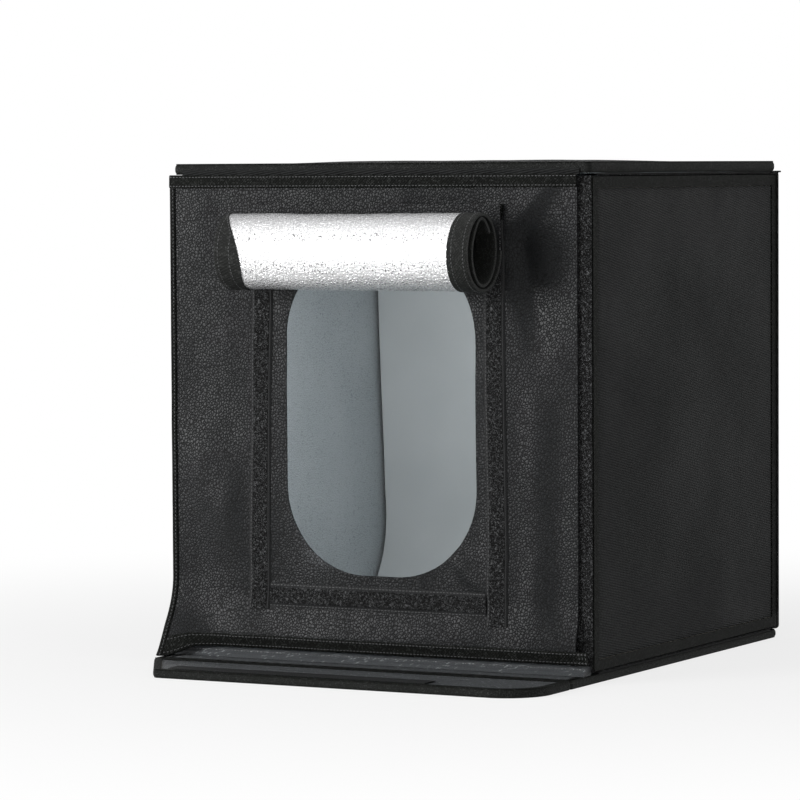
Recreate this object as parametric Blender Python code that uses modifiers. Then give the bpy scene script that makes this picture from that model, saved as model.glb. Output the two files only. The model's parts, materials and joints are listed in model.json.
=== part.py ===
# Folding light tent, a cube of padded panels with a lifting front cover and a roll-up window door.
# Frame: X to the right, Y towards the back, Z up, origin in the middle of the floor's underside, metres.

import math

import bmesh
import bpy
import numpy as np
from mathutils import Euler, Matrix, Vector

# The cube
CUBE_WIDTH = 0.400
CUBE_DEPTH = 0.400
CUBE_HEIGHT = 0.4328
CLEARANCE = 0.0003

# Panel layers: board in the middle, cloth outside, lining inside, tape sewn round the edge
BOARD_THICKNESS = 0.004
ROOF_BOARD_THICKNESS = 0.006
CLOTH_THICKNESS = 0.0012
BINDING_THICKNESS = 0.0012
BINDING_WIDTH = 0.010
PANEL_CORNER_RADIUS = 0.003
WALL_CROWN = 0.0015
ROOF_CROWN = 0.0025
CROWN_CELLS = 6
ARC_STEPS = 6

# Hook-and-loop tape that closes the edges
TAPE_THICKNESS = 0.0008
TAPE_END_SETBACK = 0.012
EDGE_TAPE_INSET = 0.0006

# Cloth hinges, sewn as a round welt in each crease
WELT_RADIUS = 0.0009
WELT_END_SETBACK = 0.012
WELT_RESOLUTION = 2

# Floor, its lip ahead of the front face, and the padded sill
FLOOR_BACK_RADIUS = 0.012
LIP_REACH = 0.0387
SILL_TOP = 0.0147
SILL_DEPTH = 0.0141
SILL_CREST_SHARE = 0.30
HEM_TAPE_DEPTH = 0.0037

# Closing flap on the table ahead of the lip
FLAP_REACH = 0.115
FLAP_CREASE_GAP = 0.0006
FLAP_WELT_RADIUS = 0.0006
FLAP_RIGHT_RADIUS = 0.040
FLAP_LEFT_CUT = 0.045
FLAP_LEFT_RADIUS = 0.008
FLAP_BINDING_WIDTH = 0.007
FLAP_TAPE_LENGTH = 0.245
FLAP_TAPE_WIDTH = 0.020
FLAP_TAPE_LEFT_GAP = 0.010

# Roof
ROOF_FRONT_RADIUS = 0.004
ROOF_BACK_RADIUS = 0.015

# Front cover
COVER_THICKNESS = 0.0015
COVER_LEFT_OVERHANG = 0.0035
COVER_RIGHT_GAP = 0.012
COVER_TRIM_THICKNESS = 0.0012
COVER_TOP_TAPE_WIDTH = 0.0115
PIPING_WIDTH = 0.0055
HEM_WIDTH = 0.011
HEM_RIGHT_GAP = 0.001
FRONT_TAPE_WIDTH = 0.020
COVER_HOOK_WIDTH = 0.0075
COVER_HOOK_FOOT = 0.080
COVER_HOOK_TOP_GAP = 0.015

# How the cover hangs: its lower left corner curls forward, and a hollow lies beside the roll
CURL_REACH = 0.030
CURL_WIDTH = 0.058
CURL_HEIGHT = 0.060
HOLLOW_DEPTH = 0.006
HOLLOW_EDGE_GAP = 0.035
HOLLOW_DROP = 0.1035
HOLLOW_HALF_WIDTH = 0.022
HOLLOW_HALF_HEIGHT = 0.085
CURL_COLUMNS = 7
CURL_ROWS = 6
HOLLOW_COLUMNS = 7
HOLLOW_ROWS = 9

# Window in the cover, and the loop strips round it
WINDOW_WIDTH = 0.182
WINDOW_CENTRE_X = 0.002
WINDOW_BOTTOM = 0.082
WINDOW_DROP = 0.0635
WINDOW_RADIUS = 0.075
WINDOW_STEPS = 12
STRIP_WIDTH = 0.020
STRIP_THICKNESS = 0.0012
STRIP_DROP = 0.0385
LEFT_STRIP_TOP_X = -0.111
LEFT_STRIP_FOOT_X = -0.117
LEFT_STRIP_FOOT = 0.050
RIGHT_STRIP_TOP_X = 0.110
RIGHT_STRIP_FOOT_X = 0.114
RIGHT_STRIP_FOOT = 0.045
BOTTOM_STRIP_FOOT = 0.052

# Rolled window door
DOOR_LEFT = -0.120
DOOR_RIGHT = 0.120
DOOR_THICKNESS = 0.0016
DOOR_TAPE_WIDTH = 0.020
DOOR_TAPE_THICKNESS = 0.0010
DOOR_HEADER_DROP = 0.025
DOOR_HEADER_HEIGHT = 0.010
ROLL_DROP = 0.064
ROLL_RADIUS = 0.0335
ROLL_TURNS = 1.9
ROLL_NARROWING = 0.0095
ROLL_FLATTENING = 0.0040
ROLL_RIPPLE = 0.0010
ROLL_RIPPLE_WAVES = 3.0
ROLL_RIPPLE_START_SHARE = 0.62
ROLL_STEPS_PER_TURN = 26
HEM_TAPE_LENGTH_SHARE = 0.075

# Backdrop sheet: a tab against the back wall, a fold over the top, the hang and the sweep
BACKDROP_THICKNESS = 0.0008
BACKDROP_SIDE_GAP = 0.004
BACKDROP_ROOF_GAP = 0.004
BACKDROP_TAB_HEIGHT = 0.022
BACKDROP_TAB_RADIUS = 0.005
BACKDROP_FOLD_RADIUS = 0.012
BACKDROP_TOP_GAP = 0.0535
BACKDROP_FOOT_GAP = 0.0284
BACKDROP_SWEEP_RADIUS = 0.090
BACKDROP_FRONT_GAP = 0.025
BACKDROP_STEPS = 12
BACKDROP_TAPE_WIDTH = 0.014

# Light bar under the roof
LIGHT_END_GAP = 0.030
LIGHT_WIDTH = 0.018
LIGHT_HEIGHT = 0.008
LIGHT_WALL = 0.0012
LIGHT_FRONT_GAP = 0.090
LIGHT_PAD_THICKNESS = 0.0020
LIGHT_PAD_END_GAP = 0.020
LIGHT_BOARD_THICKNESS = 0.0016
LED_COUNT = 20
LED_LENGTH = 0.0035
LED_WIDTH = 0.0028
LED_HEIGHT = 0.0008
LIGHT_CAP_THICKNESS = 0.0020
INLET_RADIUS = 0.0039
INLET_BORE_RADIUS = 0.0032
INLET_LENGTH = 0.008
INLET_FLOOR = 0.0010
INLET_SIDES = 20

# One overrun for all cuts, and how close two points are to be one
OVERRUN = 0.0004
WELD_DISTANCE = 0.00001

# Levels and faces that follow from the sizes above
HALF_WIDTH = CUBE_WIDTH / 2
HALF_DEPTH = CUBE_DEPTH / 2
PANEL = BOARD_THICKNESS + 2 * (CLOTH_THICKNESS + CLEARANCE)
ROOF_PANEL = ROOF_BOARD_THICKNESS + 2 * (CLOTH_THICKNESS + CLEARANCE)
CLOSURE_GAP = 2 * TAPE_THICKNESS + 3 * CLEARANCE
HINGE_OFFSET = WELT_RADIUS + CLEARANCE
ON_FLOOR = PANEL + CLEARANCE
ROOF_UNDERSIDE = CUBE_HEIGHT - ROOF_PANEL
UNDER_ROOF = ROOF_UNDERSIDE - CLEARANCE
WALL_FOOT = PANEL + CLOSURE_GAP
WALL_TOP = ROOF_UNDERSIDE - CLOSURE_GAP
BACK_WALL_INSIDE = HALF_DEPTH - PANEL
WALL_BACK = BACK_WALL_INSIDE - TAPE_THICKNESS - 2 * CLEARANCE
COVER_BACK = HALF_DEPTH - COVER_THICKNESS
WALL_FRONT = COVER_BACK - CLOSURE_GAP
SILL_BACK = WALL_FRONT + TAPE_THICKNESS + 2 * CLEARANCE
LIP_FRONT = HALF_DEPTH + LIP_REACH
FLAP_BACK = LIP_FRONT + FLAP_CREASE_GAP
FLAP_FRONT = HALF_DEPTH + FLAP_REACH
COVER_FOOT = SILL_TOP + TAPE_THICKNESS + 2 * CLEARANCE
TRIM_LOW = HALF_DEPTH + CLEARANCE
COVER_LEFT = -HALF_WIDTH - COVER_LEFT_OVERHANG
COVER_RIGHT = HALF_WIDTH - COVER_RIGHT_GAP
HEM_RIGHT = HALF_WIDTH - HEM_RIGHT_GAP
HOLLOW_X = COVER_RIGHT - HOLLOW_EDGE_GAP
HOLLOW_Z = UNDER_ROOF - HOLLOW_DROP
WINDOW_TOP = UNDER_ROOF - WINDOW_DROP
STRIP_TOP = UNDER_ROOF - STRIP_DROP
DOOR_HEADER_TOP = UNDER_ROOF - DOOR_HEADER_DROP
ROLL_CENTRE_Z = UNDER_ROOF - ROLL_DROP
ROLL_OUTER = ROLL_RADIUS + DOOR_THICKNESS / 2 + CLEARANCE + DOOR_TAPE_THICKNESS
ROLL_CENTRE_Y = TRIM_LOW + STRIP_THICKNESS + 2 * CLEARANCE + ROLL_OUTER
BACKDROP_TOP_Y = HALF_DEPTH - BACKDROP_TOP_GAP
BACKDROP_FOOT_Y = HALF_DEPTH - BACKDROP_FOOT_GAP
BACKDROP_FRONT_Y = BACKDROP_FRONT_GAP - HALF_DEPTH
LIGHT_LENGTH = CUBE_WIDTH - 2 * LIGHT_END_GAP
LIGHT_Y = LIGHT_FRONT_GAP - HALF_DEPTH

# Hinge lines
SIDE_HINGE_X = HALF_WIDTH + HINGE_OFFSET
SIDE_HINGE_Y = (WALL_BACK + BACK_WALL_INSIDE) / 2
BACK_HINGE_Y = HALF_DEPTH + HINGE_OFFSET
FLOOR_HINGE_Z = PANEL + CLEARANCE / 2
ROOF_HINGE_Z = ROOF_UNDERSIDE - CLEARANCE / 2
COVER_HINGE_Z = ROOF_UNDERSIDE + WELT_RADIUS
FLAP_HINGE_Y = LIP_FRONT + FLAP_CREASE_GAP / 2
FLAP_HINGE_Z = PANEL + CLEARANCE + FLAP_WELT_RADIUS

# Inner corners of a binding whose tape is folded square
MITRED = (0, 0, 0, 0)

# How a plate is turned: its outline is drawn as seen from outside, its thickness runs outwards
FACING_UP = (0, 0, 0)
FACING_FRONT = (math.pi / 2, 0, 0)
FACING_RIGHT = (math.pi / 2, 0, math.pi / 2)
FACING_BACK = (math.pi / 2, 0, math.pi)
FACING_LEFT = (math.pi / 2, 0, -math.pi / 2)

# Finishes: base colour, roughness, metallic
BLACK_CLOTH = ((0.035, 0.035, 0.037), 0.75, 0.0)
BLACK_TAPE = ((0.018, 0.018, 0.019), 0.85, 0.0)
COVER_LEATHER = ((0.030, 0.031, 0.034), 0.45, 0.0)
SILVER_LINING = ((0.42, 0.44, 0.45), 0.40, 0.3)
SILVER_FOIL = ((0.85, 0.86, 0.87), 0.25, 0.8)
GREY_BOARD = ((0.45, 0.42, 0.36), 0.90, 0.0)
GREY_BACKDROP = ((0.40, 0.42, 0.43), 0.60, 0.0)
PALE_ALUMINIUM = ((0.75, 0.76, 0.78), 0.35, 1.0)
WHITE_LAMPS = ((0.85, 0.86, 0.84), 0.50, 0.0)
BLACK_PLASTIC = ((0.03, 0.03, 0.03), 0.50, 0.0)


def clear_scene():
    for scene_object in list(bpy.data.objects):
        bpy.data.objects.remove(scene_object)


def collection(name):
    new = bpy.data.collections.new(name)
    bpy.context.scene.collection.children.link(new)
    return new


def material(name, finish):
    colour, roughness, metallic = finish
    new = bpy.data.materials.new(name)
    new.use_nodes = True
    shader = new.node_tree.nodes["Principled BSDF"]
    shader.inputs["Base Color"].default_value = (*colour, 1.0)
    shader.inputs["Roughness"].default_value = roughness
    shader.inputs["Metallic"].default_value = metallic
    return new


def hinge(name, place, parent=None):
    """An empty on a joint's axis, which carries the pieces that move with it."""
    empty = bpy.data.objects.new(name, None)
    empty.location = place
    PARTS.objects.link(empty)
    if parent is not None:
        empty.parent = parent
        bpy.context.view_layer.update()
        empty.matrix_parent_inverse = parent.matrix_world.inverted()
    return empty


def keep(piece, finish, carrier=None):
    """Give a finished piece its material and the empty that carries it."""
    piece.data.materials.clear()
    piece.data.materials.append(material(piece.name, finish))
    if carrier is not None:
        piece.parent = carrier
        bpy.context.view_layer.update()
        piece.matrix_parent_inverse = carrier.matrix_world.inverted()


def combine(piece, other, operation):
    """Cut the other shape from a piece, or join it on, and set the other aside as a guide."""
    PARTS.objects.unlink(other)
    CUTTERS.objects.link(other)
    other.hide_render = True
    other.display_type = "WIRE"
    modifier = piece.modifiers.new(operation.lower(), "BOOLEAN")
    modifier.operation = operation
    modifier.solver = "EXACT"
    modifier.object = other


def rectangle(left, right, low, high):
    return np.array([(left, low), (right, low), (right, high), (left, high)])


def inset(corners, distance):
    """Move each side of a convex outline, listed anticlockwise, inwards by the distance."""
    along = np.roll(corners, -1, axis=0) - corners
    along = along / np.linalg.norm(along, axis=1)[:, None]
    inward = np.stack([-along[:, 1], along[:, 0]], axis=1)
    start = corners + inward * distance
    moved = []
    for side in range(len(corners)):
        matrix = np.stack([along[side - 1], -along[side]], axis=1)
        step = np.linalg.solve(matrix, start[side] - start[side - 1])
        moved.append(start[side - 1] + along[side - 1] * step[0])
    return np.array(moved)


def rounded(corners, radii, steps=ARC_STEPS):
    """Replace each corner that has a radius with an arc, tangent to both sides."""
    points = []
    count = len(corners)
    for index, corner in enumerate(corners):
        radius = radii[index]
        if radius <= 0:
            points.append(corner)
            continue
        to_last = corners[index - 1] - corner
        to_next = corners[(index + 1) % count] - corner
        to_last = to_last / np.linalg.norm(to_last)
        to_next = to_next / np.linalg.norm(to_next)
        half_angle = math.acos(np.clip(to_last @ to_next, -1, 1)) / 2
        bisector = to_last + to_next
        centre = corner + bisector / np.linalg.norm(bisector) * radius / math.sin(half_angle)
        first = corner + to_last * radius / math.tan(half_angle) - centre
        last = corner + to_next * radius / math.tan(half_angle) - centre
        start = math.atan2(first[1], first[0])
        turn = math.atan2(first[0] * last[1] - first[1] * last[0], first @ last)
        for step in range(steps + 1):
            angle = start + turn * step / steps
            points.append(centre + radius * np.array([math.cos(angle), math.sin(angle)]))
    return np.array(points)


def smaller(radii, distance):
    return [max(radius - distance, 0) for radius in radii]


def mirrored(outline, side):
    """An outline drawn for the right side, turned over across its first axis for the left side."""
    return np.array(outline) * (side, 1)


def plate(name, loops, low, high, facing):
    """A flat outline, with holes if there are more loops, drawn in a facing's plane from low to high."""
    curve = bpy.data.curves.new(name + "_outline", "CURVE")
    curve.dimensions = "2D"
    curve.fill_mode = "BOTH"
    curve.extrude = (high - low) / 2
    for loop in loops:
        spline = curve.splines.new("POLY")
        spline.points.add(len(loop) - 1)
        for point, (across, up) in zip(spline.points, loop):
            point.co = (across, up, 0, 1)
        spline.use_cyclic_u = True
    drawn = bpy.data.objects.new(name + "_outline", curve)
    drawn.rotation_euler = facing
    drawn.location = Euler(facing).to_matrix() @ Vector((0, 0, (low + high) / 2))
    PARTS.objects.link(drawn)
    bpy.context.view_layer.update()
    mesh = bpy.data.meshes.new_from_object(drawn.evaluated_get(bpy.context.evaluated_depsgraph_get()))
    solid = bpy.data.objects.new(name, mesh)
    solid.matrix_world = drawn.matrix_world
    PARTS.objects.link(solid)
    bpy.data.objects.remove(drawn)
    tidy = bmesh.new()
    tidy.from_mesh(mesh)
    bmesh.ops.remove_doubles(tidy, verts=tidy.verts, dist=WELD_DISTANCE)
    bmesh.ops.recalc_face_normals(tidy, faces=tidy.faces)
    tidy.to_mesh(mesh)
    tidy.free()
    return solid


def box(name, left, right, front, back, low, high):
    """A box between six faces, from a unit cube that the sizes scale."""
    shape = bmesh.new()
    bmesh.ops.create_cube(shape, size=1)
    bmesh.ops.scale(shape, vec=(right - left, back - front, high - low), verts=shape.verts)
    mesh = bpy.data.meshes.new(name)
    shape.to_mesh(mesh)
    shape.free()
    solid = bpy.data.objects.new(name, mesh)
    solid.location = ((left + right) / 2, (front + back) / 2, (low + high) / 2)
    PARTS.objects.link(solid)
    return solid


def cylinder(name, start, middle, level, radius, length):
    """A round bar along X, from a start."""
    shape = bmesh.new()
    bmesh.ops.create_cone(
        shape, cap_ends=True, segments=INLET_SIDES, radius1=radius, radius2=radius, depth=length
    )
    mesh = bpy.data.meshes.new(name)
    shape.to_mesh(mesh)
    shape.free()
    solid = bpy.data.objects.new(name, mesh)
    solid.location = (start + length / 2, middle, level)
    solid.rotation_euler = (0, math.pi / 2, 0)
    PARTS.objects.link(solid)
    return solid


def welt(name, points, radius, carrier=None):
    """A round cloth hinge along a line of points."""
    curve = bpy.data.curves.new(name, "CURVE")
    curve.dimensions = "3D"
    curve.bevel_depth = radius
    curve.bevel_resolution = WELT_RESOLUTION
    curve.use_fill_caps = True
    spline = curve.splines.new("POLY")
    spline.points.add(len(points) - 1)
    for point, place in zip(spline.points, points):
        point.co = (*place, 1)
    solid = bpy.data.objects.new(name, curve)
    PARTS.objects.link(solid)
    keep(solid, BLACK_CLOTH, carrier)


def cloth_slab(name, columns, rows, surface, low, high, facing):
    """A sheet over a grid of columns and rows, whose two sides are the surface plus low and plus high."""
    shape = bmesh.new()
    bmesh.ops.create_grid(shape, x_segments=len(columns) - 1, y_segments=len(rows) - 1, size=1)
    across = np.linspace(-1, 1, len(columns))
    upward = np.linspace(-1, 1, len(rows))
    for vertex in shape.verts:
        x = columns[int(np.argmin(abs(across - vertex.co.x)))]
        y = rows[int(np.argmin(abs(upward - vertex.co.y)))]
        vertex.co = (x, y, surface(x, y) + low)
    extruded = bmesh.ops.extrude_face_region(shape, geom=shape.faces[:])
    top = [item for item in extruded["geom"] if isinstance(item, bmesh.types.BMVert)]
    bmesh.ops.translate(shape, vec=(0, 0, high - low), verts=top)
    bmesh.ops.recalc_face_normals(shape, faces=shape.faces)
    mesh = bpy.data.meshes.new(name)
    shape.to_mesh(mesh)
    shape.free()
    solid = bpy.data.objects.new(name, mesh)
    solid.rotation_euler = facing
    PARTS.objects.link(solid)
    return solid


def crowned_cloth(name, corners, low, high, crown, facing):
    """A cloth that swells outwards by the crown in its middle and is level along its edges."""
    left, bottom = corners.min(axis=0)
    right, top = corners.max(axis=0)

    def swell(x, y):
        across = math.sin(math.pi * (x - left) / (right - left))
        upward = math.sin(math.pi * (y - bottom) / (top - bottom))
        return crown * max(across, 0) * max(upward, 0)

    columns = np.linspace(left, right, CROWN_CELLS + 1)
    rows = np.linspace(bottom, top, CROWN_CELLS + 1)
    return cloth_slab(name, columns, rows, swell, low, high, facing)


def binding(name, corners, radii, inner_radii, levels, board, width, facing):
    """Tape folded round a panel's edge: a ring of the panel's thickness with a pocket for the board."""
    loops = [rounded(corners, radii), rounded(inset(corners, width), inner_radii)]
    ring = plate(name, loops, *levels, facing)
    pocket_outline = rounded(inset(corners, BINDING_THICKNESS), smaller(radii, BINDING_THICKNESS))
    pocket = plate(name + "_pocket", [pocket_outline], board[0] - CLEARANCE, board[1] + CLEARANCE, facing)
    combine(ring, pocket, "DIFFERENCE")
    return ring


def layers(outside, thickness, outward):
    """The low and high faces of the outer cloth, the board and the lining, from the outside in."""
    cloth = sorted((outside, outside - outward * CLOTH_THICKNESS))
    board_face = outside - outward * (CLOTH_THICKNESS + CLEARANCE)
    board = sorted((board_face, board_face - outward * thickness))
    lining_face = board_face - outward * (thickness + CLEARANCE)
    lining = sorted((lining_face, lining_face - outward * CLOTH_THICKNESS))
    return cloth, board, lining


def panel(prefix, corners, radii, outside, thickness, crown, facing, carrier):
    """One padded panel: board, outer cloth, silver lining and the tape round its edge."""
    cloth, board, lining = layers(outside, thickness, 1)
    edge = BINDING_THICKNESS + CLEARANCE
    board_outline = rounded(inset(corners, edge), smaller(radii, edge))
    face = inset(corners, BINDING_WIDTH + CLEARANCE)
    keep(plate(prefix + "_board", [board_outline], *board, facing), GREY_BOARD, carrier)
    keep(crowned_cloth(prefix + "_skin", face, *cloth, crown, facing), BLACK_CLOTH, carrier)
    keep(plate(prefix + "_lining", [face], *lining, facing), SILVER_LINING, carrier)
    levels = (lining[0], cloth[1])
    tape = binding(prefix + "_binding", corners, radii, MITRED, levels, board, BINDING_WIDTH, facing)
    keep(tape, BLACK_TAPE, carrier)


def edge_span(side):
    """The left and right faces of a closing tape that lies on a side panel's edge."""
    near = side * (HALF_WIDTH - PANEL + EDGE_TAPE_INSET)
    far = side * (HALF_WIDTH - EDGE_TAPE_INSET)
    return min(near, far), max(near, far)


def floor_panel():
    corners = rectangle(-HALF_WIDTH, HALF_WIDTH, -LIP_FRONT, HALF_DEPTH)
    radii = (0, 0, FLOOR_BACK_RADIUS, FLOOR_BACK_RADIUS)
    cloth, board, lining = layers(0, BOARD_THICKNESS, -1)
    edge = BINDING_THICKNESS + CLEARANCE
    board_outline = rounded(inset(corners, edge), smaller(radii, edge))
    face = inset(corners, BINDING_WIDTH + CLEARANCE)
    left, front = face[0]
    right, back = face[2]
    keep(plate("floor_board", [board_outline], *board, FACING_UP), GREY_BOARD)
    keep(plate("floor_skin", [face], *cloth, FACING_UP), BLACK_CLOTH)
    inside = rectangle(left, right, -COVER_BACK, back)
    keep(plate("floor_lining", [inside], *lining, FACING_UP), SILVER_LINING)
    ahead = rectangle(left, right, front, -COVER_BACK - CLEARANCE)
    keep(plate("floor_lip_skin", [ahead], *lining, FACING_UP), BLACK_CLOTH)
    levels = (cloth[0], lining[1])
    tape = binding("floor_binding", corners, radii, MITRED, levels, board, BINDING_WIDTH, FACING_UP)
    keep(tape, BLACK_TAPE)


def floor_closures():
    """Hook strips for the side walls' feet, and the welts at the back and at the closing flap."""
    front = -WALL_FRONT + TAPE_END_SETBACK
    back = WALL_BACK - TAPE_END_SETBACK
    for name, side in (("floor_left_hook_strip", -1), ("floor_right_hook_strip", 1)):
        strip = box(name, *edge_span(side), front, back, ON_FLOOR, ON_FLOOR + TAPE_THICKNESS)
        keep(strip, BLACK_TAPE)
    end = HALF_WIDTH - WELT_END_SETBACK
    back_line = [(-end, BACK_HINGE_Y, FLOOR_HINGE_Z), (end, BACK_HINGE_Y, FLOOR_HINGE_Z)]
    welt("floor_hinge_welt", back_line, WELT_RADIUS)
    flap_line = [(-end, -FLAP_HINGE_Y, FLAP_HINGE_Z), (end, -FLAP_HINGE_Y, FLAP_HINGE_Z)]
    welt("flap_hinge_welt", flap_line, FLAP_WELT_RADIUS)


def sill():
    """A padded roll on the lip: level on top, then a quarter round down to the lip, with its loop tape."""
    crest = -SILL_BACK - SILL_DEPTH * SILL_CREST_SHARE
    reach = SILL_DEPTH * (1 - SILL_CREST_SHARE)
    height = SILL_TOP - ON_FLOOR
    outline = [(-SILL_BACK, ON_FLOOR), (-SILL_BACK, SILL_TOP)]
    for step in range(ARC_STEPS + 1):
        angle = math.pi / 2 * step / ARC_STEPS
        outline.append((crest - reach * math.sin(angle), ON_FLOOR + height * math.cos(angle)))
    body = plate("front_sill", [outline], -HALF_WIDTH + CLEARANCE, HALF_WIDTH - CLEARANCE, FACING_RIGHT)
    keep(body, BLACK_CLOTH)
    end = HALF_WIDTH - TAPE_END_SETBACK
    back = -SILL_BACK - CLEARANCE
    low = SILL_TOP + CLEARANCE
    tape = box("hem_loop_strip", -end, end, back - HEM_TAPE_DEPTH, back, low, low + TAPE_THICKNESS)
    keep(tape, BLACK_TAPE)


def closing_flap():
    carrier = hinge("closing_flap_axis", (0, -FLAP_HINGE_Y, FLAP_HINGE_Z))
    corners = np.array([
        (-HALF_WIDTH, -FLAP_BACK),
        (-HALF_WIDTH + FLAP_LEFT_CUT, -FLAP_FRONT),
        (HALF_WIDTH, -FLAP_FRONT),
        (HALF_WIDTH, -FLAP_BACK),
    ])
    radii = (0, FLAP_LEFT_RADIUS, FLAP_RIGHT_RADIUS, 0)
    cloth, board, top = layers(0, BOARD_THICKNESS, -1)
    board_edge = BINDING_THICKNESS + CLEARANCE
    face_edge = FLAP_BINDING_WIDTH + CLEARANCE
    board_outline = rounded(inset(corners, board_edge), smaller(radii, board_edge))
    face = rounded(inset(corners, face_edge), smaller(radii, face_edge))
    keep(plate("flap_board", [board_outline], *board, FACING_UP), GREY_BOARD, carrier)
    keep(plate("flap_bottom_skin", [face], *cloth, FACING_UP), BLACK_CLOTH, carrier)
    keep(plate("flap_top_skin", [face], *top, FACING_UP), BLACK_CLOTH, carrier)
    levels = (cloth[0], top[1])
    inner_radii = smaller(radii, FLAP_BINDING_WIDTH)
    tape = binding("flap_binding", corners, radii, inner_radii, levels, board, FLAP_BINDING_WIDTH, FACING_UP)
    keep(tape, BLACK_TAPE, carrier)
    left = -HALF_WIDTH + FLAP_LEFT_CUT + FLAP_TAPE_LEFT_GAP
    front = -FLAP_FRONT + face_edge
    strip = box(
        "flap_hook_strip", left, left + FLAP_TAPE_LENGTH, front, front + FLAP_TAPE_WIDTH,
        ON_FLOOR, ON_FLOOR + TAPE_THICKNESS,
    )
    keep(strip, BLACK_TAPE, carrier)


def back_wall():
    carrier = hinge("back_wall_axis", (0, BACK_HINGE_Y, FLOOR_HINGE_Z))
    corners = rectangle(-HALF_WIDTH, HALF_WIDTH, ON_FLOOR, UNDER_ROOF)
    radii = [PANEL_CORNER_RADIUS] * 4
    panel("back_wall", corners, radii, HALF_DEPTH, BOARD_THICKNESS, WALL_CROWN, FACING_BACK, carrier)
    foot = WALL_FOOT + WELT_END_SETBACK
    right_side = [
        (SIDE_HINGE_X, SIDE_HINGE_Y, foot),
        (SIDE_HINGE_X, SIDE_HINGE_Y, ROOF_HINGE_Z),
        (SIDE_HINGE_X, BACK_HINGE_Y, ROOF_HINGE_Z),
    ]
    left_side = [(-x, y, z) for x, y, z in right_side]
    welt("back_wall_hinge_welt", left_side + right_side[::-1], WELT_RADIUS, carrier)
    return carrier


def backdrop(carrier):
    """A smooth sheet: a tab against the back wall, a fold over, a long hang and a sweep over the floor."""
    half = BACKDROP_THICKNESS / 2
    tab_y = BACK_WALL_INSIDE - TAPE_THICKNESS - 2 * CLEARANCE - half
    top = ROOF_UNDERSIDE - BACKDROP_ROOF_GAP - half
    level = ON_FLOOR + half
    corners = np.array([
        (tab_y, top - BACKDROP_TAB_HEIGHT),
        (tab_y, top),
        (BACKDROP_TOP_Y, top),
        (BACKDROP_FOOT_Y, level),
        (BACKDROP_FRONT_Y, level),
    ])
    radii = (0, BACKDROP_TAB_RADIUS, BACKDROP_FOLD_RADIUS, BACKDROP_SWEEP_RADIUS, 0)
    outline = ribbon(rounded(corners, radii, BACKDROP_STEPS), -half, half)
    reach = HALF_WIDTH - PANEL - BACKDROP_SIDE_GAP
    keep(plate("backdrop_sheet", [outline], -reach, reach, FACING_RIGHT), GREY_BACKDROP, carrier)
    foot = top - BACKDROP_TAB_HEIGHT
    back = BACK_WALL_INSIDE - CLEARANCE
    strip = box(
        "backdrop_top_strip", -reach, reach, back - TAPE_THICKNESS, back, foot, foot + BACKDROP_TAPE_WIDTH
    )
    keep(strip, BLACK_TAPE, carrier)


def ribbon(middle, inner, outer):
    """The closed outline of a ribbon that follows a line, between two distances to its side."""
    step = np.diff(middle, axis=0)
    step = step / np.linalg.norm(step, axis=1)[:, None]
    along = np.concatenate([step[:1], step[:-1] + step[1:], step[-1:]])
    along = along / np.linalg.norm(along, axis=1)[:, None]
    aside = np.stack([along[:, 1], -along[:, 0]], axis=1)
    return np.concatenate([middle + aside * inner, (middle + aside * outer)[::-1]])


def side_wall(prefix, side, parent):
    """A side wall with its closing tapes. Side is 1 on the right and -1 on the left."""
    facing = FACING_RIGHT if side > 0 else FACING_LEFT
    carrier = hinge(prefix + "_axis", (side * SIDE_HINGE_X, SIDE_HINGE_Y, 0), parent)
    ends = sorted((-side * WALL_FRONT, side * WALL_BACK))
    corners = rectangle(*ends, WALL_FOOT, WALL_TOP)
    radii = [PANEL_CORNER_RADIUS] * 4
    panel(prefix, corners, radii, HALF_WIDTH, BOARD_THICKNESS, WALL_CROWN, facing, carrier)

    front = -WALL_FRONT + TAPE_END_SETBACK
    back = WALL_BACK + CLEARANCE
    foot = WALL_FOOT - CLEARANCE
    top = WALL_TOP + CLEARANCE
    outline = mirrored([
        (front, foot - TAPE_THICKNESS), (back + TAPE_THICKNESS, foot - TAPE_THICKNESS),
        (back + TAPE_THICKNESS, top + TAPE_THICKNESS), (front, top + TAPE_THICKNESS),
        (front, top), (back, top), (back, foot), (front, foot),
    ], side)
    levels = (HALF_WIDTH - PANEL + EDGE_TAPE_INSET, HALF_WIDTH - EDGE_TAPE_INSET)
    keep(plate(prefix + "_loop_strip", [outline], *levels, facing), BLACK_TAPE, carrier)

    reach = sorted((side * HALF_WIDTH, side * (HALF_WIDTH - FRONT_TAPE_WIDTH)))
    tape_back = -WALL_FRONT - CLEARANCE
    tape = box(prefix + "_front_tape", *reach, tape_back - TAPE_THICKNESS, tape_back, WALL_FOOT, WALL_TOP)
    keep(tape, BLACK_TAPE, carrier)


def roof(parent):
    carrier = hinge("roof_axis", (0, BACK_HINGE_Y, ROOF_HINGE_Z), parent)
    corners = rectangle(-HALF_WIDTH, HALF_WIDTH, -HALF_DEPTH, HALF_DEPTH)
    radii = (ROOF_FRONT_RADIUS, ROOF_FRONT_RADIUS, ROOF_BACK_RADIUS, ROOF_BACK_RADIUS)
    panel("roof", corners, radii, CUBE_HEIGHT, ROOF_BOARD_THICKNESS, ROOF_CROWN, FACING_UP, carrier)
    front = -WALL_FRONT + TAPE_END_SETBACK
    back = WALL_BACK - TAPE_END_SETBACK
    for name, side in (("roof_left_hook_strip", -1), ("roof_right_hook_strip", 1)):
        strip = box(name, *edge_span(side), front, back, UNDER_ROOF - TAPE_THICKNESS, UNDER_ROOF)
        keep(strip, BLACK_TAPE, carrier)
    end = HALF_WIDTH - WELT_END_SETBACK
    line = [(-end, -BACK_HINGE_Y, COVER_HINGE_Z), (end, -BACK_HINGE_Y, COVER_HINGE_Z)]
    welt("cover_hinge_welt", line, WELT_RADIUS, carrier)
    return carrier


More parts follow.
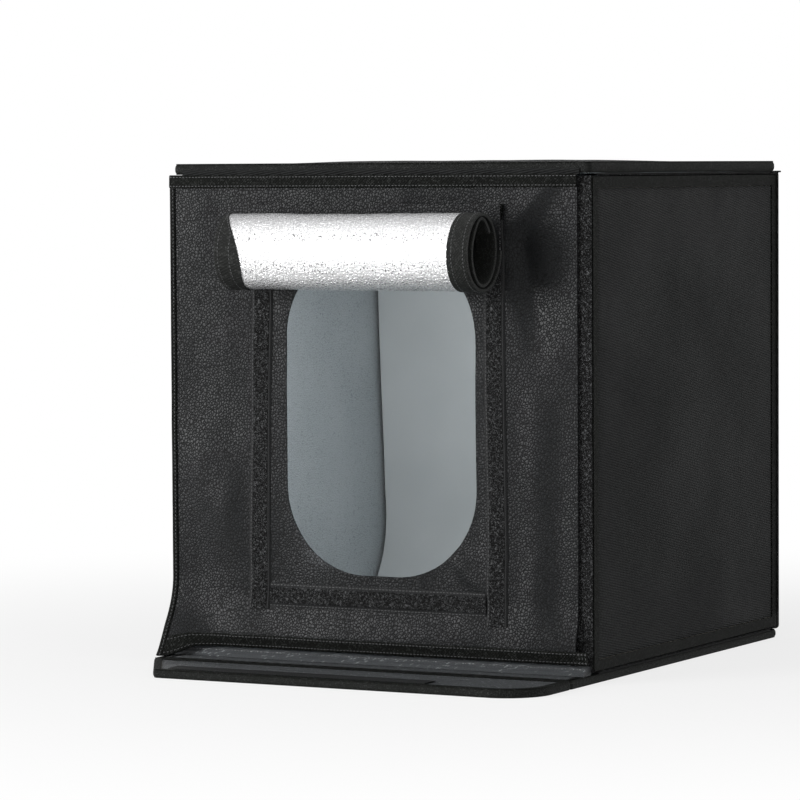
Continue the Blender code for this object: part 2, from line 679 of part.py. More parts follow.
def light_bar(carrier):
    """A bar of lamps under the roof: pad, channel, lamp board and end caps, one with the power inlet."""
    top = UNDER_ROOF - LIGHT_PAD_THICKNESS - CLEARANCE
    foot = top - LIGHT_HEIGHT
    end = LIGHT_LENGTH / 2
    front = LIGHT_Y - LIGHT_WIDTH / 2
    back = LIGHT_Y + LIGHT_WIDTH / 2
    pad_end = end - LIGHT_PAD_END_GAP
    pad = box("light_pad", -pad_end, pad_end, front, back, UNDER_ROOF - LIGHT_PAD_THICKNESS, UNDER_ROOF)
    keep(pad, BLACK_TAPE, carrier)

    channel = box("light_channel", -end, end, front, back, foot, top)
    inner_front = front + LIGHT_WALL
    inner_back = back - LIGHT_WALL
    inner_top = top - LIGHT_WALL
    hollow = box(
        "light_hollow", -end - OVERRUN, end + OVERRUN, inner_front, inner_back, foot - OVERRUN, inner_top
    )
    combine(channel, hollow, "DIFFERENCE")
    keep(channel, PALE_ALUMINIUM, carrier)

    board_top = inner_top - CLEARANCE
    board_foot = board_top - LIGHT_BOARD_THICKNESS
    board = box(
        "light_board", -end, end, inner_front + CLEARANCE, inner_back - CLEARANCE, board_foot, board_top
    )
    pitch = LIGHT_LENGTH / LED_COUNT
    first = -end + pitch / 2
    lamps = box(
        "light_lamps", first - LED_LENGTH / 2, first + LED_LENGTH / 2,
        LIGHT_Y - LED_WIDTH / 2, LIGHT_Y + LED_WIDTH / 2, board_foot - LED_HEIGHT, board_foot + OVERRUN,
    )
    row = lamps.modifiers.new("row", "ARRAY")
    row.count = LED_COUNT
    row.use_relative_offset = False
    row.use_constant_offset = True
    row.constant_offset_displace = (pitch, 0, 0)
    combine(board, lamps, "UNION")
    keep(board, WHITE_LAMPS, carrier)

    cap_start = end + CLEARANCE
    cap_end = cap_start + LIGHT_CAP_THICKNESS
    keep(box("light_left_cap", -cap_end, -cap_start, front, back, foot, top), BLACK_PLASTIC, carrier)
    cap = box("light_right_cap", cap_start, cap_end, front, back, foot, top)
    level = (foot + top) / 2
    inlet = cylinder("inlet_wall", cap_end - OVERRUN, LIGHT_Y, level, INLET_RADIUS, INLET_LENGTH + OVERRUN)
    combine(cap, inlet, "UNION")
    bore = cylinder("inlet_bore", cap_start + INLET_FLOOR, LIGHT_Y, level, INLET_BORE_RADIUS, 2 * INLET_LENGTH)
    combine(cap, bore, "DIFFERENCE")
    keep(cap, BLACK_PLASTIC, carrier)


def hang(x, z):
    """How far the cover stands ahead of its plane: the curled corner, less the hollow beside the roll."""
    across = np.clip((COVER_LEFT + CURL_WIDTH - x) / CURL_WIDTH, 0, 1)
    down = np.clip((COVER_FOOT + CURL_HEIGHT - z) / CURL_HEIGHT, 0, 1)
    curl = CURL_REACH * across**2 * (3 - 2 * across) * down**2
    beside = np.clip(1 - ((x - HOLLOW_X) / HOLLOW_HALF_WIDTH) ** 2, 0, 1)
    along = np.clip(1 - ((z - HOLLOW_Z) / HOLLOW_HALF_HEIGHT) ** 2, 0, 1)
    return float(curl - HOLLOW_DEPTH * beside**2 * along**2)


def cover_grid():
    """Columns and rows of the cover, closer together where it curls or is hollow."""
    columns = np.concatenate([
        [COVER_LEFT],
        np.linspace(COVER_LEFT + PIPING_WIDTH, COVER_LEFT + CURL_WIDTH, CURL_COLUMNS),
        np.linspace(HOLLOW_X - HOLLOW_HALF_WIDTH, HOLLOW_X + HOLLOW_HALF_WIDTH, HOLLOW_COLUMNS),
        [COVER_RIGHT],
    ])
    rows = np.concatenate([
        [COVER_FOOT],
        np.linspace(COVER_FOOT + HEM_WIDTH, COVER_FOOT + CURL_HEIGHT, CURL_ROWS),
        np.linspace(HOLLOW_Z - HOLLOW_HALF_HEIGHT, HOLLOW_Z + HOLLOW_HALF_HEIGHT, HOLLOW_ROWS),
        [UNDER_ROOF],
    ])
    return columns, rows


def cover_trim(name, outline, thickness, carrier):
    keep(plate(name, [outline], TRIM_LOW, TRIM_LOW + thickness, FACING_FRONT), BLACK_TAPE, carrier)


def front_cover(parent):
    """The soft sheet over the front, with its window, its trims and its closing tapes."""
    carrier = hinge("front_cover_axis", (0, -BACK_HINGE_Y, COVER_HINGE_Z), parent)
    columns, rows = cover_grid()
    sheet = cloth_slab("cover_sheet", columns, rows, hang, COVER_BACK, HALF_DEPTH, FACING_FRONT)
    half = WINDOW_WIDTH / 2
    window = rectangle(WINDOW_CENTRE_X - half, WINDOW_CENTRE_X + half, WINDOW_BOTTOM, WINDOW_TOP)
    outline = rounded(window, [WINDOW_RADIUS] * 4, WINDOW_STEPS)
    opening = plate("window_opening", [outline], COVER_BACK - OVERRUN, HALF_DEPTH + OVERRUN, FACING_FRONT)
    combine(sheet, opening, "DIFFERENCE")
    keep(sheet, COVER_LEATHER, carrier)

    high = TRIM_LOW + COVER_TRIM_THICKNESS
    tape_foot = UNDER_ROOF - COVER_TOP_TAPE_WIDTH
    top_tape = rectangle(COVER_LEFT, COVER_RIGHT, tape_foot, UNDER_ROOF)
    cover_trim("cover_top_tape", top_tape, COVER_TRIM_THICKNESS, carrier)
    side_rows = np.append(rows[:-1], tape_foot - CLEARANCE)
    piping = cloth_slab("cover_left_piping", columns[:2], side_rows, hang, TRIM_LOW, high, FACING_FRONT)
    keep(piping, BLACK_TAPE, carrier)
    hem_columns = np.concatenate([[columns[1] + CLEARANCE], columns[2:], [HEM_RIGHT]])
    hem = cloth_slab("cover_hem_band", hem_columns, rows[:2], hang, TRIM_LOW, high, FACING_FRONT)
    keep(hem, BLACK_TAPE, carrier)

    front = -COVER_BACK + CLEARANCE
    top = UNDER_ROOF - COVER_HOOK_TOP_GAP
    hooks = (("cover_left_hook_strip", -HALF_WIDTH), ("cover_right_hook_strip", COVER_RIGHT - COVER_HOOK_WIDTH))
    for name, left in hooks:
        hook = box(name, left, left + COVER_HOOK_WIDTH, front, front + TAPE_THICKNESS, COVER_HOOK_FOOT, top)
        keep(hook, BLACK_TAPE, carrier)
    window_strips(carrier)
    header = rectangle(DOOR_LEFT, DOOR_RIGHT, DOOR_HEADER_TOP - DOOR_HEADER_HEIGHT, DOOR_HEADER_TOP)
    sheet_back = ROLL_CENTRE_Y - ROLL_RADIUS - DOOR_THICKNESS / 2
    cover_trim("door_header_tape", header, sheet_back - CLEARANCE - TRIM_LOW, carrier)
    return carrier


def window_strips(carrier):
    """Loop tape down both sides of the window, a little wider apart at the foot, and across under it."""
    half = STRIP_WIDTH / 2
    low = BOTTOM_STRIP_FOOT
    high = BOTTOM_STRIP_FOOT + STRIP_WIDTH
    ends = []
    for name, top_x, foot_x, foot, side in (
        ("window_left_strip", LEFT_STRIP_TOP_X, LEFT_STRIP_FOOT_X, LEFT_STRIP_FOOT, 1),
        ("window_right_strip", RIGHT_STRIP_TOP_X, RIGHT_STRIP_FOOT_X, RIGHT_STRIP_FOOT, -1),
    ):
        outline = [
            (foot_x - half, foot), (foot_x + half, foot), (top_x + half, STRIP_TOP), (top_x - half, STRIP_TOP)
        ]
        cover_trim(name, outline, STRIP_THICKNESS, carrier)
        lean = (top_x - foot_x) / (STRIP_TOP - foot)
        for height in (low, high):
            ends.append((foot_x + lean * (height - foot) + side * (half + CLEARANCE), height))
    left_low, left_high, right_low, right_high = ends
    cover_trim("window_bottom_strip", [left_low, right_low, right_high, left_high], STRIP_THICKNESS, carrier)


def roll_line(turns):
    """The rolled door's middle line seen from the right: an oval that winds inwards as it turns.

    It starts at the back of the roll and goes down, forward and up. Each turn takes the narrowing
    off its depth and the flattening off its height, and the tail ripples.
    """
    angle = 2 * math.pi * turns
    ripple_start = ROLL_TURNS * ROLL_RIPPLE_START_SHARE
    tail = np.clip((turns - ripple_start) / (ROLL_TURNS - ripple_start), 0, 1)
    ripple = ROLL_RIPPLE * tail * np.sin(2 * math.pi * ROLL_RIPPLE_WAVES * tail)
    deep = ROLL_RADIUS - ROLL_NARROWING * turns + ripple
    tall = ROLL_RADIUS - ROLL_FLATTENING * turns + ripple
    return np.stack([-ROLL_CENTRE_Y + deep * np.cos(angle), ROLL_CENTRE_Z - tall * np.sin(angle)], axis=1)


def edge_tape_piece(name, middle, left, right):
    """A length of the door's edge tape, on the outside of the rolled sheet."""
    high = -DOOR_THICKNESS / 2 - CLEARANCE
    return plate(name, [ribbon(middle, high - DOOR_TAPE_THICKNESS, high)], left, right, FACING_RIGHT)


def rolled_door(parent):
    place = (0, -ROLL_CENTRE_Y, ROLL_CENTRE_Z)
    slide = hinge("door_carrier_axis", place, parent)
    spin = hinge("door_roll_axis", place, slide)
    half = DOOR_THICKNESS / 2
    hanging = rectangle(DOOR_LEFT, DOOR_RIGHT, ROLL_CENTRE_Z + CLEARANCE, DOOR_HEADER_TOP)
    distance = ROLL_CENTRE_Y - ROLL_RADIUS
    sheet = plate("door_hanging_sheet", [hanging], distance - half, distance + half, FACING_FRONT)
    keep(sheet, COVER_LEATHER, slide)

    turns = np.linspace(0, ROLL_TURNS, int(ROLL_TURNS * ROLL_STEPS_PER_TURN) + 1)
    middle = roll_line(turns)
    body = plate("door_roll_sheet", [ribbon(middle, -half, half)], DOOR_LEFT, DOOR_RIGHT, FACING_RIGHT)
    keep(body, SILVER_FOIL, spin)
    last = middle[turns > ROLL_TURNS * (1 - HEM_TAPE_LENGTH_SHARE)]
    tape = edge_tape_piece("door_edge_tape", middle, DOOR_LEFT, DOOR_LEFT + DOOR_TAPE_WIDTH)
    right = edge_tape_piece("right_edge", middle, DOOR_RIGHT - DOOR_TAPE_WIDTH, DOOR_RIGHT)
    inner_left = DOOR_LEFT + DOOR_TAPE_WIDTH - OVERRUN
    inner_right = DOOR_RIGHT - DOOR_TAPE_WIDTH + OVERRUN
    hem = edge_tape_piece("inner_hem", last, inner_left, inner_right)
    combine(tape, hem, "UNION")
    combine(tape, right, "UNION")
    keep(tape, BLACK_TAPE, spin)


clear_scene()
PARTS = collection("light_tent_cube")
CUTTERS = collection("light_tent_guides")
floor_panel()
floor_closures()
sill()
closing_flap()
back_axis = back_wall()
backdrop(back_axis)
side_wall("left_wall", -1, back_axis)
side_wall("right_wall", 1, back_axis)
roof_axis = roof(back_axis)
light_bar(roof_axis)
cover_axis = front_cover(roof_axis)
rolled_door(cover_axis)
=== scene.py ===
import json
import math

import bmesh
import bpy
import numpy as np
from mathutils import Matrix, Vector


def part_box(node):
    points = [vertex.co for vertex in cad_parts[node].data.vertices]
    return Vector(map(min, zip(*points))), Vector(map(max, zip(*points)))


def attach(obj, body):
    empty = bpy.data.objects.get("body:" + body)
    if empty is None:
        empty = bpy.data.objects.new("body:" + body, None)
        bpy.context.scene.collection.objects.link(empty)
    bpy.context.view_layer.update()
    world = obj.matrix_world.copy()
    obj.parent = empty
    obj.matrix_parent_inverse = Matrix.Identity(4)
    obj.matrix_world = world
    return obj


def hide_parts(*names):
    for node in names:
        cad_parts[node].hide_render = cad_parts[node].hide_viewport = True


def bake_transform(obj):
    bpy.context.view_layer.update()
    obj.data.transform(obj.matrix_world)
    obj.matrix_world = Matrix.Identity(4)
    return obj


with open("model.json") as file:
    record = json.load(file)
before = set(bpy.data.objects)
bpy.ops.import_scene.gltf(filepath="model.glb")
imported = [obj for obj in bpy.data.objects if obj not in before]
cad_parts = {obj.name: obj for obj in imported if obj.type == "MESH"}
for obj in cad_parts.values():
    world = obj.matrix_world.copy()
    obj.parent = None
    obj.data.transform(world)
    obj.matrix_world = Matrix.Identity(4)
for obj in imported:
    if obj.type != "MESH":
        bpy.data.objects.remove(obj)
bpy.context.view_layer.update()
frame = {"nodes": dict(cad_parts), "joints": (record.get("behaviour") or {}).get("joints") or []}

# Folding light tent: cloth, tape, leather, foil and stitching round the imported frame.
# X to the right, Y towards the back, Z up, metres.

# How the layers lie, as in the solid part
CLEARANCE = 0.0003
CLOTH_THICKNESS = 0.0011
TAPE_THICKNESS = 0.0010
BINDING_WIDTH = 0.010
FLAP_BINDING_WIDTH = 0.007
WALL_CORNER_RADIUS = 0.003
ROOF_FRONT_RADIUS = 0.004
ROOF_BACK_RADIUS = 0.015
FLOOR_BACK_RADIUS = 0.012
FLAP_LEFT_CUT = 0.045
FLAP_LEFT_RADIUS = 0.008
FLAP_RIGHT_RADIUS = 0.040
WALL_CROWN = 0.0015
ROOF_CROWN = 0.0025

# Sewing
STITCH_PITCH = 0.0032
STITCH_LENGTH = 0.0026
THREAD_RADIUS = 0.00034
SEAM_INSET = 0.0021
# How much lighter the tapes' folded edges are painted: partly rubbing, partly painted glints
PANEL_EDGE_WEAR_AND_GLINT = 0.25
SEAM_SINK = 0.00022
SEAM_DIP = 0.00030
SEAM_DIP_WIDTH = 0.0009
TAPE_SWELL = 0.00025
TAPE_LIP = 0.00025
TAPE_LIP_WIDTH = 0.0005
TAPE_RIPPLE = 0.00012
TAPE_HEADROOM = 0.0004
# How far in from the folded edge that lighter paint reaches
EDGE_WEAR_AND_GLINT_WIDTH = 0.0016
UNDER_TAPE = 0.00055
PUCKER_HEIGHT = 0.00030
SLACK_HEIGHT = 0.0007
FINE_SLACK_HEIGHT = 0.00025
LINING_CROWN = 0.0004
STITCH_SIDES = 6
STITCH_RINGS = 7
CREASE_SINK = 0.0009
CREASE_RISE = 0.0007
CREASE_DEPTH = 0.0010
CREASE_HEIGHT = 0.0026
CREASE_OVERHANG = 0.0025
BACK_WELT_RADIUS = 0.0009
BACK_WELT_CORNER = 0.0022
SILL_ROUND_SHARE = 0.7
SILL_CREASE_DEGREES = 52
SILL_CREASE_WIDTH = 7
SILL_CREASE_DEPTH = 0.0010

# Front cover: curled lower left corner, hollow beside the roll, soft waves elsewhere
CURL_REACH = 0.030
CURL_WIDTH = 0.058
CURL_HEIGHT = 0.060
HOLLOW_DEPTH = 0.0080
HOLLOW_LEFT = 0.116
HOLLOW_LEFT_WIDTH = 0.028
HOLLOW_SLANT = 0.25
HOLLOW_RIGHT = 0.186
HOLLOW_RIGHT_WIDTH = 0.046
HOLLOW_CORNER = (0.188, 0.4175)
HOLLOW_CORNER_WIDTH = 0.018
HOLLOW_FOOT = 0.255
HOLLOW_FOOT_HEIGHT = 0.065
COVER_THICKNESS = 0.0015
COVER_SIDE_POINTS = 116
COVER_RINGS = 36
WAVE_HEIGHT = 0.0028
HEM_BULGE = 0.0080
HEM_BULGE_TOP = 0.067
HEM_BULGE_HEIGHT = 0.043
HEM_TUCK = 0.0030
HEM_TUCK_TOP = 0.028
HEM_TUCK_HEIGHT = 0.012
COVER_FOLDS = (
    (0.090, 0.105, 0.190, 0.010, 0.0026, 0.026),
    (0.060, 0.112, 0.112, 0.062, 0.0020, 0.013),
    (-0.190, 0.240, -0.130, 0.080, 0.0022, 0.036),
)
CORNER_DROP = 0.0080
WINDOW_CENTRE_X = 0.002
WINDOW_WIDTH = 0.182
WINDOW_BOTTOM = 0.082
WINDOW_TOP = 0.360
WINDOW_RADIUS = 0.075
STRIP_WIDTH = 0.020
STRIP_THICKNESS = 0.0012
TRIM_THICKNESS = 0.0012
CORD_HEIGHT = 0.0007
WALL_STRIP_THICKNESS = 0.0008
PILE_SHARE = 0.70

# Rolled door
DOOR_THICKNESS = 0.0016
DENT_HEIGHT = 0.00045
FINE_DENT_HEIGHT = 0.00018
ROLL_RADIUS = 0.0335
ROLL_TURNS = 1.9
ROLL_NARROWING = 0.0095
ROLL_FLATTENING = 0.0040
ROLL_RIPPLE = 0.0010
ROLL_RIPPLE_WAVES = 3.0
ROLL_RIPPLE_START_SHARE = 0.62
# Rows round the roll where the foil's dimples are painted dark as shade, and the span where its upper side
# turns to a duller painted shade
FOIL_SHADED_DIMPLE_ROWS = ((0.053, 0.007), (0.086, 0.008), (0.1115, 0.0065))
FOIL_SHADED_TOP_SPAN = (0.112, 0.130)
DOOR_TAPE_GAP = 0.00015
DOOR_TAPE_THICKNESS = 0.0005
DOOR_TAPE_WIDTH = 0.0185
DOOR_TAPE_SKEW = 0.008
DOOR_TAPE_FRONT_BULGE = 0.012
DOOR_TAPE_EDGE_BULGE = 0.0007

# Backdrop sheet and lamps
BACKDROP_THICKNESS = 0.0008
BACKDROP_TAB_HEIGHT = 0.022
BACKDROP_RADII = (0.005, 0.012, 0.090)
BACKDROP_TOP_Y = 0.1465
BACKDROP_FOOT_Y = 0.1716
LED_COUNT = 20
GEL_HALF_SIZE = (0.0013, 0.0010)
GEL_HEIGHT = 0.00045
GEL_SIDES = 16
GEL_RINGS = 5

# How finely the surfaces are drawn
PATH_STEP = 0.004
COVER_TRIM_STEP = 0.003
SHEET_STEP = 0.0035
SHARP_ANGLE = math.radians(42)

# A panel's directions, seen from outside: across, up, outwards
FACING = {
    "right": ((0, 1, 0), (0, 0, 1), (1, 0, 0)),
    "left": ((0, -1, 0), (0, 0, 1), (-1, 0, 0)),
    "back": ((-1, 0, 0), (0, 0, 1), (0, 1, 0)),
    "front": ((1, 0, 0), (0, 0, 1), (0, -1, 0)),
    "up": ((1, 0, 0), (0, 1, 0), (0, 0, 1)),
    "down": ((1, 0, 0), (0, -1, 0), (0, 0, -1)),
}
INWARDS = {"right": "left", "left": "right", "back": "front", "up": "down", "down": "up"}
JOINTS = {joint["name"]: joint for joint in frame["joints"]}


# Numbers and noise

def corners_of(node):
    """The lowest and highest corner of a solid node."""
    low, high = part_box(node)
    return np.array(low), np.array(high)


def face_of(node, facing):
    """A node seen along a facing: its rectangle's four corners and its low and high level outwards."""
    low, high = corners_of(node)
    axes = np.array(FACING[facing], float)
    spans = np.sort(np.stack([axes @ low, axes @ high], axis=1), axis=1)
    (left, right), (bottom, top), levels = spans
    return np.array([(left, bottom), (right, bottom), (right, top), (left, top)]), levels


def placed(facing, flat, level):
    """Points in space from places in a facing's plane and their levels outwards."""
    across, up, out = np.array(FACING[facing], float)
    level = np.broadcast_to(level, flat.shape[:-1])
    return flat[..., :1] * across + flat[..., 1:2] * up + level[..., None] * out


def unit(vectors):
    return vectors / np.maximum(np.linalg.norm(vectors, axis=-1, keepdims=True), 1e-12)


def ripples(x, y, cell, seed):
    """Smooth noise from -1 to 1: seeded heights on a square lattice, eased between its points."""
    table = np.random.default_rng(seed).uniform(-1, 1, (61, 61))
    column, row = np.floor(x / cell).astype(int), np.floor(y / cell).astype(int)
    right, up = x / cell - column, y / cell - row
    right, up = (share**3 * (share * (6 * share - 15) + 10) for share in (right, up))

    def height(across, along):
        return table[(column + across) % 61, (row + along) % 61]

    low = height(0, 0) * (1 - right) + height(1, 0) * right
    high = height(0, 1) * (1 - right) + height(1, 1) * right
    return low * (1 - up) + high * up


def ease(value):
    """A smooth step from 0 to 1, level at both ends."""
    value = np.clip(value, 0, 1)
    return value * value * (3 - 2 * value)


def travelled(path):
    """The length of a path up to each of its points."""
    return np.concatenate([[0.0], np.cumsum(np.linalg.norm(np.diff(path, axis=0), axis=1))])


def sampled(at, length, path):
    """The places on a path at some lengths along it."""
    return np.stack([np.interp(at, length, side) for side in path.T], axis=1)


def evenly(path, step):
    """The same path with points the step apart."""
    length = travelled(path)
    count = max(int(round(length[-1] / step)), 2)
    return sampled(np.linspace(0, length[-1], count + 1), length, path)


def circle(angle):
    """The cosine and the sine of angles, as places."""
    return np.stack([np.cos(angle), np.sin(angle)], axis=-1)


def once_round(count):
    """Angles once round a profile."""
    return np.linspace(0, 2 * math.pi, count, endpoint=False)


def blunt(value, power):
    """A cosine or sine raised to a power, with its sign kept: a power under 1 squares up a circle."""
    return np.sign(value) * np.abs(value) ** power


def lattice(columns, rows):
    """Places in a grid, from the places of its columns and of its rows."""
    return np.stack(np.meshgrid(columns, rows), axis=-1)


def spread(x, section):
    """Points in space from their places in X and a section's places in Y and Z."""
    return np.concatenate([np.broadcast_to(x[..., None], (*section.shape[:2], 1)), section], axis=-1)


def from_edge(x, y, left, bottom, right, top):
    """How far places lie from the nearest side of a rectangle."""
    return np.minimum(np.minimum(x - left, right - x), np.minimum(y - bottom, top - y))


def rounded_path(points, radii, steps):
    """An open path whose inner corners are arcs tangent to both runs, from the tangent points' blend."""
    parts = [points[:1]]
    for index in range(1, len(points) - 1):
        before, after = unit(points[index - 1] - points[index]), unit(points[index + 1] - points[index])
        half = math.acos(np.clip(before @ after, -1, 1)) / 2
        middle = points[index] + unit(before + after) * radii[index - 1] / math.sin(half)
        first = points[index] + before * radii[index - 1] / math.tan(half) - middle
        last = points[index] + after * radii[index - 1] / math.tan(half) - middle
        turn = math.pi - 2 * half
        share = np.linspace(0, 1, steps + 1)[:, None]
        arc = first * np.sin((1 - share) * turn) + last * np.sin(share * turn)
        parts.append(middle + arc / math.sin(turn))
    return np.concatenate(parts + [points[-1:]])


def outline_ring(corners, radii, insets, step=PATH_STEP):
    """Rows of points round a convex outline, one column for each inset.

    At a corner the points go round the centre that lies a radius in from both sides, and once the inset
    passes the radius they meet on the mitre. Between the corners they run straight.
    """
    insets = np.asarray(insets, float)
    arcs = []
    for index, corner in enumerate(corners):
        to_last = unit(corners[index - 1] - corner)
        to_next = unit(corners[(index + 1) % len(corners)] - corner)
        half = math.acos(np.clip(to_last @ to_next, -1, 1)) / 2
        radius = radii[index]
        centre = corner + unit(to_last + to_next) * np.maximum(insets, radius)[:, None] / math.sin(half)
        start = math.atan2(to_last[0], -to_last[1])
        turn = math.pi - 2 * half
        angle = start + turn * np.linspace(0, 1, max(int(radius * turn / (step / 3)), 1) + 1)
        reach = np.maximum(radius - insets, 0)[None, :, None]
        arcs.append(centre[None] + reach * circle(angle)[:, None, :])
    rows = []
    for index, arc in enumerate(arcs):
        following = arcs[(index + 1) % len(arcs)][0]
        count = max(int(np.linalg.norm(following[0] - arc[-1][0]) / step), 2)
        share = np.linspace(0, 1, count + 1)[1:-1, None, None]
        rows += [arc, arc[-1] * (1 - share) + following * share]
    return np.concatenate(rows)


# Meshes

def in_scene(name, data):
    """A new object, linked into the scene."""
    made = bpy.data.objects.new(name, data)
    bpy.context.scene.collection.objects.link(made)
    return made


def build(name, points, faces, corner_places, weld=False):
    """A mesh object from points, faces and the place of each face corner on the cloth."""
    mesh = bpy.data.meshes.new(name)
    mesh.from_pydata(points.reshape(-1, 3).tolist(), [], faces)
    layer = mesh.uv_layers.new(name="UVMap")
    layer.data.foreach_set("uv", np.ascontiguousarray(corner_places, np.float32).ravel())
    if weld:
        joined = bmesh.new()
        joined.from_mesh(mesh)
        bmesh.ops.remove_doubles(joined, verts=joined.verts, dist=1e-6)
        bmesh.ops.recalc_face_normals(joined, faces=joined.faces)
        joined.to_mesh(mesh)
        joined.free()
    mesh.shade_smooth()
    mesh.set_sharp_from_angle(angle=SHARP_ANGLE)
    return in_scene(name, mesh)


def quads(index):
    """The four-sided faces between the rows and columns of a grid of point numbers."""
    return np.stack([index[:-1, :-1], index[:-1, 1:], index[1:, 1:], index[1:, :-1]], axis=-1).reshape(-1, 4)


def numbered(rows, columns, wrap=True):
    """Point numbers in rows and columns. A wrapped grid has its first column again at the end."""
    index = np.arange(rows * columns).reshape(rows, columns)
    return np.concatenate([index, index[:, :1]], axis=1) if wrap else index


def profile_places(points):
    """Places on the cloth of a swept shape: length along the path and length round the profile."""
    ring = np.concatenate([points[0], points[0][:1]])
    return lattice(travelled(ring), travelled(points.mean(axis=1)))[..., ::-1]


def swept(name, points, places=None, weld=False):
    """A closed profile along a path: rows along the path, columns round the profile.

    With places on the cloth given, the path closes on itself, and without them it has flat ends.
    """
    rows, columns = points.shape[:2]
    closed = places is not None
    places = places if closed else profile_places(points)
    index = numbered(rows, columns)
    if closed:
        index = np.concatenate([index, index[:1]])
    corners = quads(np.arange(index.size).reshape(index.shape))
    faces = index.ravel()[corners].tolist()
    uv = places.reshape(-1, 2)[corners.ravel()]
    if not closed:
        faces += [list(range(columns))[::-1], list(range((rows - 1) * columns, rows * columns))]
        uv = np.concatenate([uv, places[0, :-1][::-1], places[-1, :-1]])
    return build(name, points, faces, uv, weld)


def sheet_piece(name, points, places, thickness, wrap=False, weld=False, back_material=False):
    """A cloth with thickness: a front face through the points, a back face behind it and its rim.

    Columns run to the right and rows upwards, seen from the front. A wrapped sheet's columns close on
    themselves and its rows run inwards.
    """
    rows, columns = points.shape[:2]
    right = np.roll(points, -1, 1) - np.roll(points, 1, 1) if wrap else np.gradient(points, axis=1)
    normal = unit(np.cross(right, np.gradient(points, axis=0)))
    back = points - normal * np.broadcast_to(thickness, points.shape[:2])[..., None]
    index = numbered(rows, columns, wrap)
    front = quads(index)
    if wrap:
        loops = [index[0], index[-1][::-1]]
    else:
        loops = [np.concatenate([index[0], index[1:, -1], index[-1, :-1][::-1], index[:-1, 0][::-1]])]
    total = rows * columns
    rim = [np.stack([loop[:-1], loop[:-1] + total, loop[1:] + total, loop[1:]], axis=-1) for loop in loops]
    faces = np.concatenate([front, front[:, ::-1] + total, *rim])
    both = np.concatenate([places.reshape(-1, 2)] * 2)
    piece = build(name, np.concatenate([points, back]), faces.tolist(), both[faces.ravel()], weld)
    if back_material:
        second = (np.arange(len(faces)) >= len(front)).astype(np.int32)
        piece.data.polygons.foreach_set("material_index", second)
    return piece


def mark(piece, name, shares):
    """Stores a share from 0 to 1 on each point of a piece, for its finish to read."""
    mask = piece.data.attributes.new(name, "FLOAT", "POINT")
    mask.data.foreach_set("value", np.ascontiguousarray(shares, np.float32).ravel())


def dress(piece, body, slot, finishes, *nodes):
    """Gives a piece its finishes, its body and the solid nodes that it stands for, which it hides. Its slot
    is not used.
    """
    for finish in finishes if isinstance(finishes, (list, tuple)) else [finishes]:
        piece.data.materials.append(finish)
    if body:
        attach(piece, body)
    if nodes:
        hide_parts(*nodes)
    return piece


# Sewing

def stitch_shape():
    """One stitch: a six-sided thread along X that thins and dives into the cloth at both ends."""
    along = np.linspace(-1, 1, STITCH_RINGS)[:, None]
    radius = THREAD_RADIUS * (1 - 0.75 * np.abs(along) ** 4)
    lift = -1.6 * THREAD_RADIUS * np.abs(along) ** 3
    angle = once_round(STITCH_SIDES)
    x = np.repeat(along * STITCH_LENGTH / 2, STITCH_SIDES, axis=1)
    points = np.stack([x, radius * np.cos(angle), lift + radius * np.sin(angle)], axis=-1)
    return points.reshape(-1, 3), quads(numbered(STITCH_RINGS, STITCH_SIDES))


def stitching(name, body, lines, pale=False):
    """Rows of stitches on lines, each line a path and the direction that the thread stands out."""
    shape, corners = stitch_shape()
    places, tangents, outs = [], [], []
    for path, out in lines:
        length = travelled(path)
        count = max(int(length[-1] / STITCH_PITCH), 1)
        at = (np.arange(count) + 0.5) * length[-1] / count
        ahead, behind = (sampled(at + shift * STITCH_LENGTH / 4, length, path) for shift in (1, -1))
        places.append(sampled(at, length, path))
        tangents.append(unit(ahead - behind))
        outs.append(np.broadcast_to(np.asarray(out, float), places[-1].shape))
    place, tangent, out = np.concatenate(places), np.concatenate(tangents), np.concatenate(outs)
    side = unit(np.cross(out, tangent))
    out = np.cross(tangent, side)
    points = (place[:, None] + shape[None, :, :1] * tangent[:, None] + shape[None, :, 1:2] * side[:, None]
              + shape[None, :, 2:] * out[:, None])
    faces = (corners[None] + np.arange(len(place))[:, None, None] * len(shape)).reshape(-1, 4)
    uv = np.tile(shape[:, :2], (len(place), 1))[faces.ravel()]
    return dress(build(name, points, faces.tolist(), uv), body, "tape", PALE_THREAD if pale else THREAD)


# Node groups and finishes

